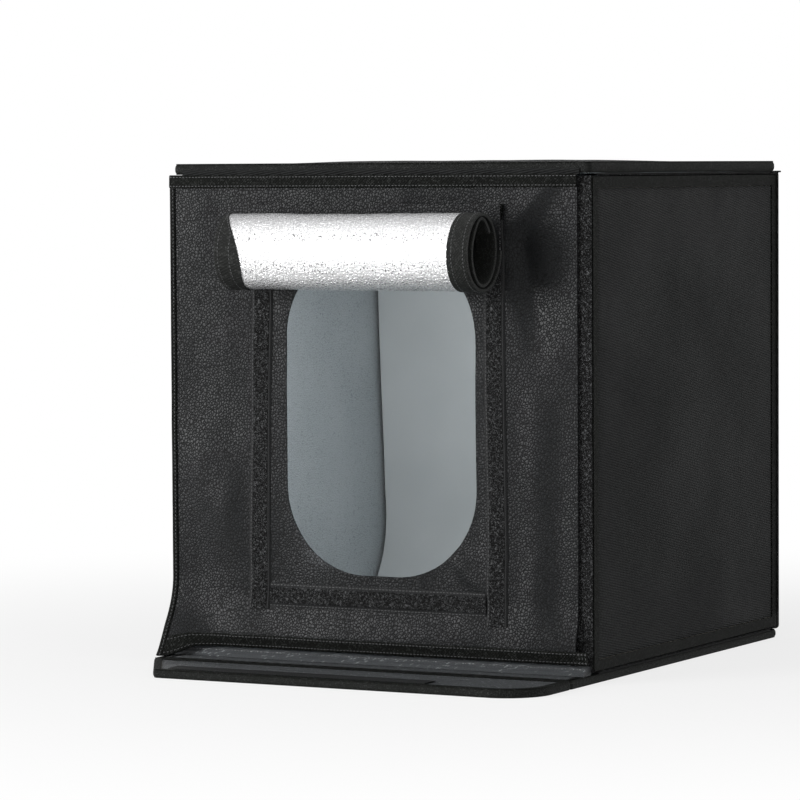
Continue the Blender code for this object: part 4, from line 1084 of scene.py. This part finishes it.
def cover_crease():
    """The cloth between the roof's front edge and the cover's top edge: a flattened oval fold that fills the
    groove, lumpy along its length."""
    low, high = corners_of("cover_hinge_welt")
    across = np.linspace(low[0] - CREASE_OVERHANG, high[0] + CREASE_OVERHANG, 130)[:, None]
    angle = once_round(16)[None]
    swell = 0.92 + 0.08 * ripples(across, angle * 0.002, 0.008, 98)
    middle = (low + high) / 2
    section = np.stack([middle[1] + CREASE_SINK + CREASE_DEPTH * np.cos(angle) * swell,
                        middle[2] + CREASE_RISE + CREASE_HEIGHT * np.sin(angle) * swell], axis=-1)
    piece = swept("cover_crease", spread(across, section), weld=True)
    dress(piece, None, "cloth", CLOTH, "cover_hinge_welt")
    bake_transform(piece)


# Front cover

COVER_LOW, COVER_HIGH = corners_of("cover_sheet")
COVER_LEFT, COVER_RIGHT = COVER_LOW[0], COVER_HIGH[0]
COVER_FOOT, COVER_TOP = COVER_LOW[2], COVER_HIGH[2]
TRIM_LEVEL = -corners_of("window_left_strip")[1][1]
COVER_FACE = TRIM_LEVEL - CLEARANCE


def folds(x, z):
    """Soft ridges of the slack cover: each stands along a line, rounded across it and faded at its ends."""
    height = 0.0
    for start_x, start_z, end_x, end_z, rise, half in COVER_FOLDS:
        long = math.hypot(end_x - start_x, end_z - start_z)
        ahead_x, ahead_z = (end_x - start_x) / long, (end_z - start_z) / long
        share = ((x - start_x) * ahead_x + (z - start_z) * ahead_z) / long
        apart = np.abs((z - start_z) * ahead_x - (x - start_x) * ahead_z)
        height = height + rise * ease(1 - apart / half) * ease(share / 0.3) * ease((1 - share) / 0.3)
    return height


def curl(x, z):
    """The lower left corner curls forward."""
    across = np.clip((COVER_LEFT + CURL_WIDTH - x) / CURL_WIDTH, 0, 1)
    down = np.clip((COVER_FOOT + CURL_HEIGHT - z) / CURL_HEIGHT, 0, 1)
    return CURL_REACH * across**2 * (3 - 2 * across) * down**2


def hollow(x, z):
    """The hollow beside the roll: it sinks softly on its left, rises evenly to the cover's right edge, starts
    along a slanting pull from the upper right corner and runs out downwards."""
    left = ease((x - HOLLOW_LEFT + HOLLOW_SLANT * (z - 0.345)) / HOLLOW_LEFT_WIDTH)
    right = np.clip((HOLLOW_RIGHT - x) / HOLLOW_RIGHT_WIDTH, 0, 1)
    pulled = ((x - HOLLOW_CORNER[0]) - (z - HOLLOW_CORNER[1])) * math.sqrt(0.5)
    corner = ease(1 + pulled / HOLLOW_CORNER_WIDTH)
    foot = ease((z - HOLLOW_FOOT) / HOLLOW_FOOT_HEIGHT)
    return HOLLOW_DEPTH * left * right * corner * foot


def waves(x, z):
    """Slack of the cover: broad waves and small puckers, held level along its edges, and never outwards where
    the rolled door passes. The hem bulges forward over the sill."""
    edge = from_edge(x, z, COVER_LEFT, COVER_FOOT, COVER_RIGHT, COVER_TOP)
    broad = (ripples(x * 1.6, z, 0.075, 11) * WAVE_HEIGHT
             + ripples(x, z * 0.7, 0.030, 12) * WAVE_HEIGHT * 0.35)
    small = ripples(x, z, 0.012, 13) * 0.00022
    height = (broad + small) * ease(edge / 0.030)
    behind_door = ease((0.150 - np.abs(x)) / 0.020) * ease((z - 0.045) / 0.02)
    height = np.where(height > 0, height * (1 - behind_door), height)
    bulge = HEM_BULGE * ease((HEM_BULGE_TOP - z) / HEM_BULGE_HEIGHT)
    bulge = bulge - HEM_TUCK * ease((HEM_TUCK_TOP - z) / HEM_TUCK_HEIGHT)
    uneven = 0.82 + 0.18 * ripples(x, z * 0, 0.045, 14)
    return height + bulge * ease((x - COVER_LEFT - 0.02) / 0.05) * uneven



def cover_surface(x, z, lift=0.0):
    """Points on the cover's outer face, or lifted ahead of it: the curled corner, which also droops, and the
    soft folds, less the hollow, with the waves over them."""
    ahead = curl(x, z) + folds(x, z) - hollow(x, z)
    droop = CORNER_DROP * ease((curl(x, z) - CURL_REACH * 0.4) / (CURL_REACH * 0.6))
    return np.stack([x, -(COVER_FACE + ahead + waves(x, z) + lift), z - droop], axis=-1)


def corners_round(left, bottom, right, top):
    """A rectangle's corners from its lower left one anticlockwise."""
    return np.array([(left, bottom), (right, bottom), (right, top), (left, top)])


def window_outline(count):
    """The window's edge from its lower left corner anticlockwise: each side with half a round corner at both
    ends, as many points a side as the cover's outer edge has."""
    half = WINDOW_WIDTH / 2
    corners = corners_round(WINDOW_CENTRE_X - half, WINDOW_BOTTOM, WINDOW_CENTRE_X + half, WINDOW_TOP)
    quarter = np.linspace(0, math.pi / 4, 12)
    sides = []
    for index in range(4):
        start = math.radians(225 + 90 * index)
        turned = start + math.pi / 2
        first, last = (corner - np.sign(circle(middle)) * WINDOW_RADIUS + WINDOW_RADIUS * circle(angles)
                       for corner, middle, angles in ((corners[index], start, start + quarter),
                                                      (corners[index - 3], turned, turned - quarter[::-1])))
        side = np.concatenate([first, last])
        length = travelled(side)
        sides.append(sampled(np.linspace(0, length[-1], count + 1)[:-1], length, side))
    return np.concatenate(sides)


def cover_cloth():
    """The leather cloth: rows run from its outer edge in to the window's edge."""
    count = COVER_SIDE_POINTS
    corners = corners_round(COVER_LEFT, COVER_FOOT, COVER_RIGHT, COVER_TOP)
    share = np.linspace(0, 1, count + 1)[:-1, None]
    outer = np.concatenate([corners[i] * (1 - share) + corners[i - 3] * share for i in range(4)])
    inward = np.linspace(0, 1, COVER_RINGS)[:, None, None]
    flat = outer[None] * (1 - inward) + window_outline(count)[None] * inward
    points = cover_surface(flat[..., 0], flat[..., 1])
    piece = sheet_piece("cover_leather", points, flat, COVER_THICKNESS, wrap=True)
    dress(piece, "front_cover", "leather", LEATHER, "cover_sheet")


def on_cover(name, node, grid, thickness, tape=TAPE, pile_share=0.0, cord=False):
    """A tape sewn on the cover: its top follows the cover's face, thins to its edges, and is higher and
    uneven over the pile. Across runs from -1 to 1 over its width, and a cord may stand up near its 1 side."""
    x, z, across = grid
    edge = 1 - np.abs(across) ** 8 * 0.85
    if pile_share:
        edge = edge * (0.55 + 0.45 * ease((pile_share + 0.12 - np.abs(across)) / 0.12))
    height = thickness * edge * (1 + 0.10 * ripples(x, z, 0.006, 17))
    if cord:
        height = height + CORD_HEIGHT * np.exp(-(((across - 0.86) / 0.07) ** 2))
    points = cover_surface(x, z, CLEARANCE + height)
    piece = sheet_piece(name, points, np.stack([x, z], axis=-1), height)
    if pile_share:
        mark(piece, "pile", np.stack([ease((pile_share + 0.06 - np.abs(across)) / 0.06)] * 2))
    dress(piece, "front_cover", "tape", tape, node)


def upright_grid(foot, top, half, columns, wander):
    """Places over a band that stands between two middle points, with its share across from -1 to 1."""
    rows = max(int((top[1] - foot[1]) / COVER_TRIM_STEP), 3)
    share = np.linspace(0, 1, rows + 1)[:, None]
    across = np.linspace(-1, 1, columns)[None]
    middle = foot[0] + (top[0] - foot[0]) * share
    z = np.broadcast_to(foot[1] + (top[1] - foot[1]) * share, (rows + 1, columns))
    sway = ripples(z, across * 0.02, 0.035, 19) * wander
    return middle + across * half + sway, z, np.broadcast_to(across, z.shape)


def level_grid(node, rows=13, inset=0.0, wander=0.0):
    """Places over a node's band that runs across the cover, with its share across from -1 to 1."""
    low, high = corners_of(node)
    left, right = low[0] + inset, high[0] - inset
    columns = max(int((right - left) / COVER_TRIM_STEP), 3)
    x = np.broadcast_to(np.linspace(left, right, columns + 1)[None], (rows, columns + 1))
    across = np.broadcast_to(np.linspace(-1, 1, rows)[:, None], x.shape)
    sway = ripples(x, across * 0.02, 0.04, 23) * wander
    z = (low[2] + high[2]) / 2 + across * (high[2] - low[2]) / 2 + sway
    return x, z, across


def seams_on_cover(grid, lift, *where):
    """Lines of stitches over the cover, along some rows or columns of a grid of places on it."""
    x, z, _ = grid
    return [(cover_surface(x[line], z[line], CLEARANCE + lift), (0, -1, 0)) for line in where]


def cover_trims():
    """Top tape, left piping, hem, the loop strips round the window and the tape over the rolled door."""
    lines = []
    half = STRIP_WIDTH / 2
    for node in ("window_left_strip", "window_right_strip"):
        low, high = corners_of(node)
        ends = (low[0] + half, high[0] - half)
        foot_x, top_x = ends if node == "window_left_strip" else ends[::-1]
        grid = upright_grid((foot_x, low[2]), (top_x, high[2]), half, 33, 0.0004)
        on_cover(node + "_tape", node, grid, STRIP_THICKNESS, LOOP_TAPE, PILE_SHARE, cord=True)
        lines += seams_on_cover(grid, STRIP_THICKNESS * 0.66, np.s_[:, 3], np.s_[:, -6])
    grid = level_grid("window_bottom_strip", 17, 0.0004, 0.0003)
    on_cover("window_bottom_strip_tape", "window_bottom_strip", grid, STRIP_THICKNESS, LOOP_TAPE,
             PILE_SHARE)
    lines += seams_on_cover(grid, STRIP_THICKNESS * 0.62, 1, -2)
    grid = level_grid("cover_top_tape")
    on_cover("cover_top_band", "cover_top_tape", grid, TRIM_THICKNESS)
    lines += seams_on_cover(grid, TRIM_THICKNESS, 2, -3)
    low, high = corners_of("cover_left_piping")
    middle = (low[0] + high[0]) / 2
    grid = upright_grid((middle, low[2]), (middle, high[2]), (high[0] - low[0]) / 2, 13, 0.0)
    on_cover("cover_left_fold", "cover_left_piping", grid, TRIM_THICKNESS)
    lines += seams_on_cover(grid, TRIM_THICKNESS, np.s_[:, 8])
    x, z, across = grid = level_grid("cover_hem_band")
    on_cover("cover_hem", "cover_hem_band", grid, TRIM_THICKNESS)
    lines += seams_on_cover(grid, TRIM_THICKNESS, 2, -3)
    ends = [np.s_[:, column] for column in (-1, -2, -3)]
    lines += seams_on_cover((x - TRIM_THICKNESS, z, across), 0.0013, *ends)
    low, high = corners_of("door_header_tape")
    on_cover("door_header", "door_header_tape", level_grid("door_header_tape"), high[1] - low[1])
    stitching("cover_stitches", "front_cover", lines)


# Rolled door

ROLL_CENTRE = np.array(JOINTS["door_spin"]["pos_m"], float)
DOOR_LEFT, DOOR_RIGHT = (corner[0] for corner in corners_of("door_roll_sheet"))
DOOR_TAPE_NEAR = DOOR_THICKNESS / 2 + DOOR_TAPE_GAP
DOOR_TAPE_FAR = DOOR_THICKNESS / 2 + DOOR_TAPE_GAP + DOOR_TAPE_THICKNESS


def roll_line(turns):
    """The rolled door's middle line in Y and Z and its outward direction: an oval that winds inwards,
    starting at the back and going down, forward and up. Each turn takes the narrowing off its depth and the
    flattening off its height, and its tail ripples."""
    angle = 2 * math.pi * turns
    start = ROLL_TURNS * ROLL_RIPPLE_START_SHARE
    tail = np.clip((turns - start) / (ROLL_TURNS - start), 0, 1)
    ripple = ROLL_RIPPLE * tail * np.sin(2 * math.pi * ROLL_RIPPLE_WAVES * tail)
    deep = ROLL_RADIUS - ROLL_NARROWING * turns + ripple
    tall = ROLL_RADIUS - ROLL_FLATTENING * turns + ripple
    line = np.stack([ROLL_CENTRE[1] + deep * np.cos(angle), ROLL_CENTRE[2] - tall * np.sin(angle)], axis=1)
    forward = unit(np.gradient(line, axis=0))
    return line, np.stack([-forward[:, 1], forward[:, 0]], axis=1)


def roll_sheet():
    """The rolled sheet: silver foil outside, leather cloth inside, softly dented, calmer near its tapes."""
    line, outward = roll_line(np.linspace(0, ROLL_TURNS, 230))
    along = travelled(line)
    x = np.linspace(DOOR_LEFT + 0.0009, DOOR_RIGHT - 0.0009, 96)
    dents = (ripples(x[None] * 0.5, along[:, None], 0.021, 31) * DENT_HEIGHT
             + ripples(x[None], along[:, None], 0.008, 32) * FINE_DENT_HEIGHT)
    dents = dents * ease((x - DOOR_LEFT) / 0.03) * ease((DOOR_RIGHT - x) / 0.03)
    section = line[:, None] + outward[:, None] * (DOOR_THICKNESS / 2 + dents)[..., None]
    piece = sheet_piece("door_roll_cloth", spread(x, section), lattice(x, along), DOOR_THICKNESS,
                        back_material=True)
    dress(piece, "door_roll", "foil", (FOIL, LEATHER), "door_roll_sheet")


def end_tape(name, end, side):
    """Tape folded over one end of the roll's sheet, all along the spiral. It returns its lines of stitches.

    At the left end it was rolled askew: narrow over the top, wide in front and below.
    """
    turns = np.linspace(0, ROLL_TURNS, 190)
    line, outward = roll_line(turns)
    wave = np.sin(2 * math.pi * turns)
    width = DOOR_TAPE_WIDTH + 0.0008 * wave
    if side < 0:
        width = width - DOOR_TAPE_SKEW * (1 - wave)
        width = width + DOOR_TAPE_FRONT_BULGE * np.maximum(-np.cos(2 * math.pi * turns), 0) ** 2
    angle = np.linspace(math.pi / 2, -math.pi / 2, 9)[1:-1]
    home = np.linspace(1, 0, 8)
    far, near = np.full(8, DOOR_TAPE_FAR), np.full(8, DOOR_TAPE_NEAR)
    level = np.concatenate([far, DOOR_TAPE_FAR * np.sin(angle), -far, -near, near])
    reach = np.concatenate([home, np.zeros(7), home[::-1], home, home[::-1]])
    bulge = np.concatenate([np.zeros(8), np.cos(angle) * DOOR_TAPE_EDGE_BULGE, np.zeros(24)])
    x = end - side * (reach[None] * width[:, None] + 0.0002) + side * bulge[None]
    fold = ripples(travelled(line)[:, None], reach[None] * 0.03, 0.011, 35) * 0.00010
    fold = fold * (np.abs(level) >= DOOR_TAPE_FAR)
    points = spread(x, line[:, None] + outward[:, None] * (level[None] + fold)[..., None])
    # The tape's folded rim is marked to be painted lighter: partly rubbed pale by use, partly painted light
    # on the rim.
    edge_wear_and_glint_share = np.broadcast_to(np.clip(bulge / DOOR_TAPE_EDGE_BULGE, 0, 1)[None] ** 0.5, points.shape[:2])
    if side > 0:
        points, edge_wear_and_glint_share = points[:, ::-1], edge_wear_and_glint_share[:, ::-1]
    piece = swept(name, points)
    mark(piece, "edge_wear_and_glint", edge_wear_and_glint_share)
    dress(piece, "door_roll", "tape", DOOR_TAPE, "door_edge_tape")
    seam = line + outward * (DOOR_TAPE_FAR + 0.00005)
    out = np.concatenate([np.zeros((len(line), 1)), outward], axis=1)
    across = [end - side * np.minimum(inset, width - 0.0015) for inset in (0.0035, DOOR_TAPE_WIDTH - 0.004)]
    return [(np.concatenate([x[:, None], seam], axis=1)[:130], out[:130]) for x in across]


def door_tapes():
    """Tapes round both ends and the inner hem of the rolled sheet, with their stitches."""
    seams = end_tape("door_left_tape", DOOR_LEFT, -1) + end_tape("door_right_tape", DOOR_RIGHT, 1)
    turns = np.linspace(ROLL_TURNS * 0.925, ROLL_TURNS, 26)
    full = np.linspace(0, ROLL_TURNS, 900)
    line, outward = (sampled(turns, full, path) for path in roll_line(full))
    outward = unit(outward)
    angle = np.linspace(math.pi / 2, -math.pi / 2, 9)[1:-1, None]
    forward = np.array([outward[-1, 1], -outward[-1, 0]])
    far = DOOR_TAPE_FAR
    tip = line[-1] + outward[-1] * far * np.sin(angle) + forward * far * 0.8 * np.cos(angle)
    route = np.concatenate([line + outward * far, tip, (line - outward * far)[::-1]])
    x = np.linspace(DOOR_LEFT + DOOR_TAPE_WIDTH + 0.004, DOOR_RIGHT - DOOR_TAPE_WIDTH - 0.001, 40)
    points = spread(x, np.repeat(route[:, None], len(x), axis=1))
    piece = sheet_piece("door_hem_tape", points, lattice(x, travelled(route)), DOOR_TAPE_THICKNESS)
    dress(piece, "door_roll", "tape", DOOR_TAPE)
    stitches = []
    for path, out in seams:
        length = travelled(path)
        count = int(length[-1] / STITCH_PITCH)
        at = (np.arange(count) + 0.5) * length[-1] / count
        ends = [sampled(at + shift * STITCH_LENGTH / 2, length, path) for shift in (-1, 1)]
        stitches += zip(np.stack(ends, axis=1), sampled(at, length, out))
    stitching("door_tape_stitches", "door_roll", stitches)


def hanging_sheet():
    """The sheet between the tape over the door and the roll: leather outside, foil behind."""
    low, high = corners_of("door_hanging_sheet")
    flat = lattice(np.linspace(low[0] + 0.001, high[0] - 0.001, 60),
                   np.linspace(low[2] + 0.0002, high[2], 28))
    points = np.insert(flat, 1, low[1] + 0.0001, axis=-1)
    piece = sheet_piece("door_hanging_cloth", points, flat, DOOR_THICKNESS - 0.0002, back_material=True)
    dress(piece, None, "leather", (LEATHER, FOIL), "door_hanging_sheet")
    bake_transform(piece)


# Inside

def backdrop():
    """The smooth sheet: it lies on the floor, sweeps up, hangs, folds over at the top and ends in a tab."""
    low, high = corners_of("backdrop_sheet")
    half = BACKDROP_THICKNESS / 2
    tab, top, level = high[1] - half, high[2] - half, low[2] + half
    route = np.array([(tab, top - BACKDROP_TAB_HEIGHT), (tab, top), (BACKDROP_TOP_Y, top),
                      (BACKDROP_FOOT_Y, level), (low[1], level)])
    path = evenly(rounded_path(route, BACKDROP_RADII, 24)[::-1], 0.003)
    forward = unit(np.gradient(path, axis=0))
    facing = np.stack([-forward[:, 1], forward[:, 0]], axis=1)
    x = np.linspace(low[0] + 0.0002, high[0] - 0.0002, 90)
    along = travelled(path)
    standing = ease((path[:, 1] - 0.03) / 0.08)[:, None] * ease((top - 0.012 - path[:, 1]) / 0.02)[:, None]
    sway = (ripples(x[None] * 0.8, along[:, None], 0.11, 51) * 0.0009) * standing
    section = path[:, None] + facing[:, None] * (half + sway)[..., None]
    piece = sheet_piece("backdrop_cloth", spread(x, section), lattice(x, along), BACKDROP_THICKNESS)
    dress(piece, "back_wall", "backdrop", BACKDROP, "backdrop_sheet")


def lamps():
    """Domed gel on each lamp of the light bar."""
    low, high = corners_of("light_board")
    pitch = (high[0] - low[0]) / LED_COUNT
    around, rise = circle(once_round(GEL_SIDES)), np.linspace(0, math.pi / 2, GEL_RINGS)[:, None, None]
    squared = (np.abs(around) ** 4).sum(axis=1)
    outline = around / squared[:, None] ** 0.25 * GEL_HALF_SIZE
    drop = np.broadcast_to(-GEL_HEIGHT * np.sin(rise), (GEL_RINGS, GEL_SIDES, 1))
    dome = np.concatenate([outline[None] * np.cos(rise), drop], axis=-1)
    middle = np.array([low[0] + pitch / 2, (low[1] + high[1]) / 2, low[2] - 0.00005])
    starts = np.arange(LED_COUNT)[:, None, None]
    points = middle + dome.reshape(1, -1, 3) + starts * np.array([pitch, 0, 0])
    starts_at = starts * GEL_RINGS * GEL_SIDES
    faces = (quads(numbered(GEL_RINGS, GEL_SIDES))[None, :, [0, 3, 2, 1]] + starts_at).reshape(-1, 4)
    bases = (starts_at[..., 0] + np.arange(GEL_SIDES)).tolist()
    uv = points.reshape(-1, 3)[np.concatenate([faces.ravel(), np.ravel(bases)]), :2]
    dress(build("lamp_gels", points, faces.tolist() + bases, uv, weld=True), "roof", "lamps", LAMP_GEL)


def carried_over():
    """The rigid solids that keep their shape get their finish."""
    for node, solid in frame["nodes"].items():
        made = None
        if node.endswith("_board"):
            made = LAMP_BOARD if node.startswith("light") else BOARD
        elif node == "light_channel":
            made = ALUMINIUM
        elif node.endswith("_cap"):
            made = PLASTIC
        if made:
            solid.data.materials.clear()
            solid.data.materials.append(made)


# Stage, light and camera

CAMERA_YAW = math.radians(28.03)
CAMERA_PITCH = math.radians(3.15)
CAMERA_ROLL = math.radians(-0.33)
CAMERA_DISTANCE = 3.74
CAMERA_ASIDE = -0.075
CAMERA_RAISED = 0.012
CAMERA_TARGET_HEIGHT = 0.21
LENS_MM = 189.0
SENSOR_MM = 36.0
FLOOR_REACH = 9.0
WHITE = (1.0, 1.0, 1.0, 1.0)


def turned(right, up, back, place):
    """The matrix that moves an object to a place and turns its X, Y and Z to three directions."""
    rows = [[*row, shift] for row, shift in zip(np.stack([right, up, back], axis=1), place)]
    return Matrix(rows + [[0, 0, 0, 1]])


def camera():
    """A long lens from the right of the front, a little above the tent."""
    yaw, pitch, roll = CAMERA_YAW, CAMERA_PITCH, CAMERA_ROLL
    ahead = np.array([-math.sin(yaw) * math.cos(pitch), math.cos(yaw) * math.cos(pitch), -math.sin(pitch)])
    level = np.array([math.cos(yaw), math.sin(yaw), 0])
    above = np.cross(level, ahead)
    right = math.cos(roll) * level + math.sin(roll) * above
    up = -math.sin(roll) * level + math.cos(roll) * above
    place = (np.array([0, 0, CAMERA_TARGET_HEIGHT]) - ahead * CAMERA_DISTANCE
             + right * CAMERA_ASIDE + up * CAMERA_RAISED)
    data = bpy.data.cameras.new("camera")
    data.lens = LENS_MM
    data.sensor_width = SENSOR_MM
    made = in_scene("camera", data)
    made.matrix_world = turned(right, up, -ahead, place)
    bpy.context.scene.camera = made


def area_light(name, place, target, size, power, seen=True):
    """A rectangular lamp that faces its target."""
    data = bpy.data.lights.new(name, "AREA")
    data.shape = "RECTANGLE"
    data.size, data.size_y = size
    data.energy = power
    made = in_scene(name, data)
    made.visible_camera = seen
    made.visible_glossy = seen
    away = unit(np.array(place, float) - np.array(target, float))
    side = unit(np.cross((0, 0, 1), away))
    made.matrix_world = turned(side, np.cross(away, side), away, place)


def directly_seen(w):
    """1 for rays from the camera, straight, mirrored or through something clear, and 0 for others."""
    path = w.add("LightPath")
    mirrored = w.math("MAXIMUM", path["Is Glossy Ray"], path["Is Transmission Ray"])
    return w.math("MAXIMUM", path["Is Camera Ray"], mirrored)


def stage():
    """A pale floor that looks white but for the tent's shadow, a white surround and soft lamps."""
    mesh = bpy.data.meshes.new("studio_floor")
    corners = [(x * FLOOR_REACH, y * FLOOR_REACH, 0) for x, y in ((-1, -1), (1, -1), (1, 1), (-1, 1))]
    mesh.from_pydata(corners, [], [(0, 1, 2, 3)])
    floor = in_scene("studio_floor", mesh)
    floor.location = (0, 0, -0.0002)
    made = bpy.data.materials.new("studio_floor")
    made.use_nodes = True
    nodes = made.node_tree.nodes
    w = Wires(made.node_tree)
    w.feed(nodes["Principled BSDF"], {"Base Color": (0.86, 0.86, 0.86, 1.0), "Roughness": 0.9})
    away = w.add("VectorMath", {0: w.object_place()}, operation="LENGTH")["Value"]
    share = w.times(directly_seen(w), w.span(away, 0.30, 1.10, 0.78, 1.0))
    glow = w.add("Emission", {"Color": WHITE, "Strength": 1.0})[0]
    w.feed(nodes["Material Output"],
           {0: w.add("MixShader", {0: share, 1: nodes["Principled BSDF"].outputs[0], 2: glow})[0]})
    mesh.materials.append(made)

    world = bpy.data.worlds.new("studio")
    bpy.context.scene.world = world
    world.use_nodes = True
    w = Wires(world.node_tree)
    w.feed(world.node_tree.nodes["Background"],
           {"Color": WHITE, "Strength": w.scaled(directly_seen(w), 0.80, 0.20)})

    area_light("front_softbox", (-1.4, -2.65, 1.36), (0, -0.1, 0.2), (1.2, 1.2), 26)
    area_light("left_softbox", (-2.14, -2.47, 0.55), (0, -0.1, 0.2), (1.0, 1.1), 60)
    area_light("right_softbox", (2.6, -1.6, 1.2), (0.1, 0, 0.2), (1.4, 1.6), 8)
    area_light("top_softbox", (0.2, -0.4, 2.4), (0, 0, 0.2), (1.8, 1.8), 12)
    area_light("inside_fill", (0, -0.02, 0.404), (0, 0.10, 0.0), (0.30, 0.22), 0.12, seen=False)
    area_light("front_fill", (0.04, -0.185, 0.20), (-0.02, 0.18, 0.18), (0.22, 0.22), 0.75, seen=False)


# The tent

camera()
stage()
bpy.context.scene.view_settings.view_transform = "Standard"
WALL_RADII = (WALL_CORNER_RADIUS,) * 4
padded_panel("right_wall", "right", WALL_RADII, WALL_CROWN, 101)
padded_panel("left_wall", "left", WALL_RADII, WALL_CROWN, 111)
padded_panel("back_wall", "back", WALL_RADII, WALL_CROWN, 121)
padded_panel("roof", "up", (ROOF_FRONT_RADIUS,) * 2 + (ROOF_BACK_RADIUS,) * 2, ROOF_CROWN, 131)
floor_panel()
padded_sill()
closing_flap()
hidden_tapes()
creases()
cover_crease()
cover_cloth()
cover_trims()
roll_sheet()
door_tapes()
hanging_sheet()
backdrop()
lamps()
carried_over()
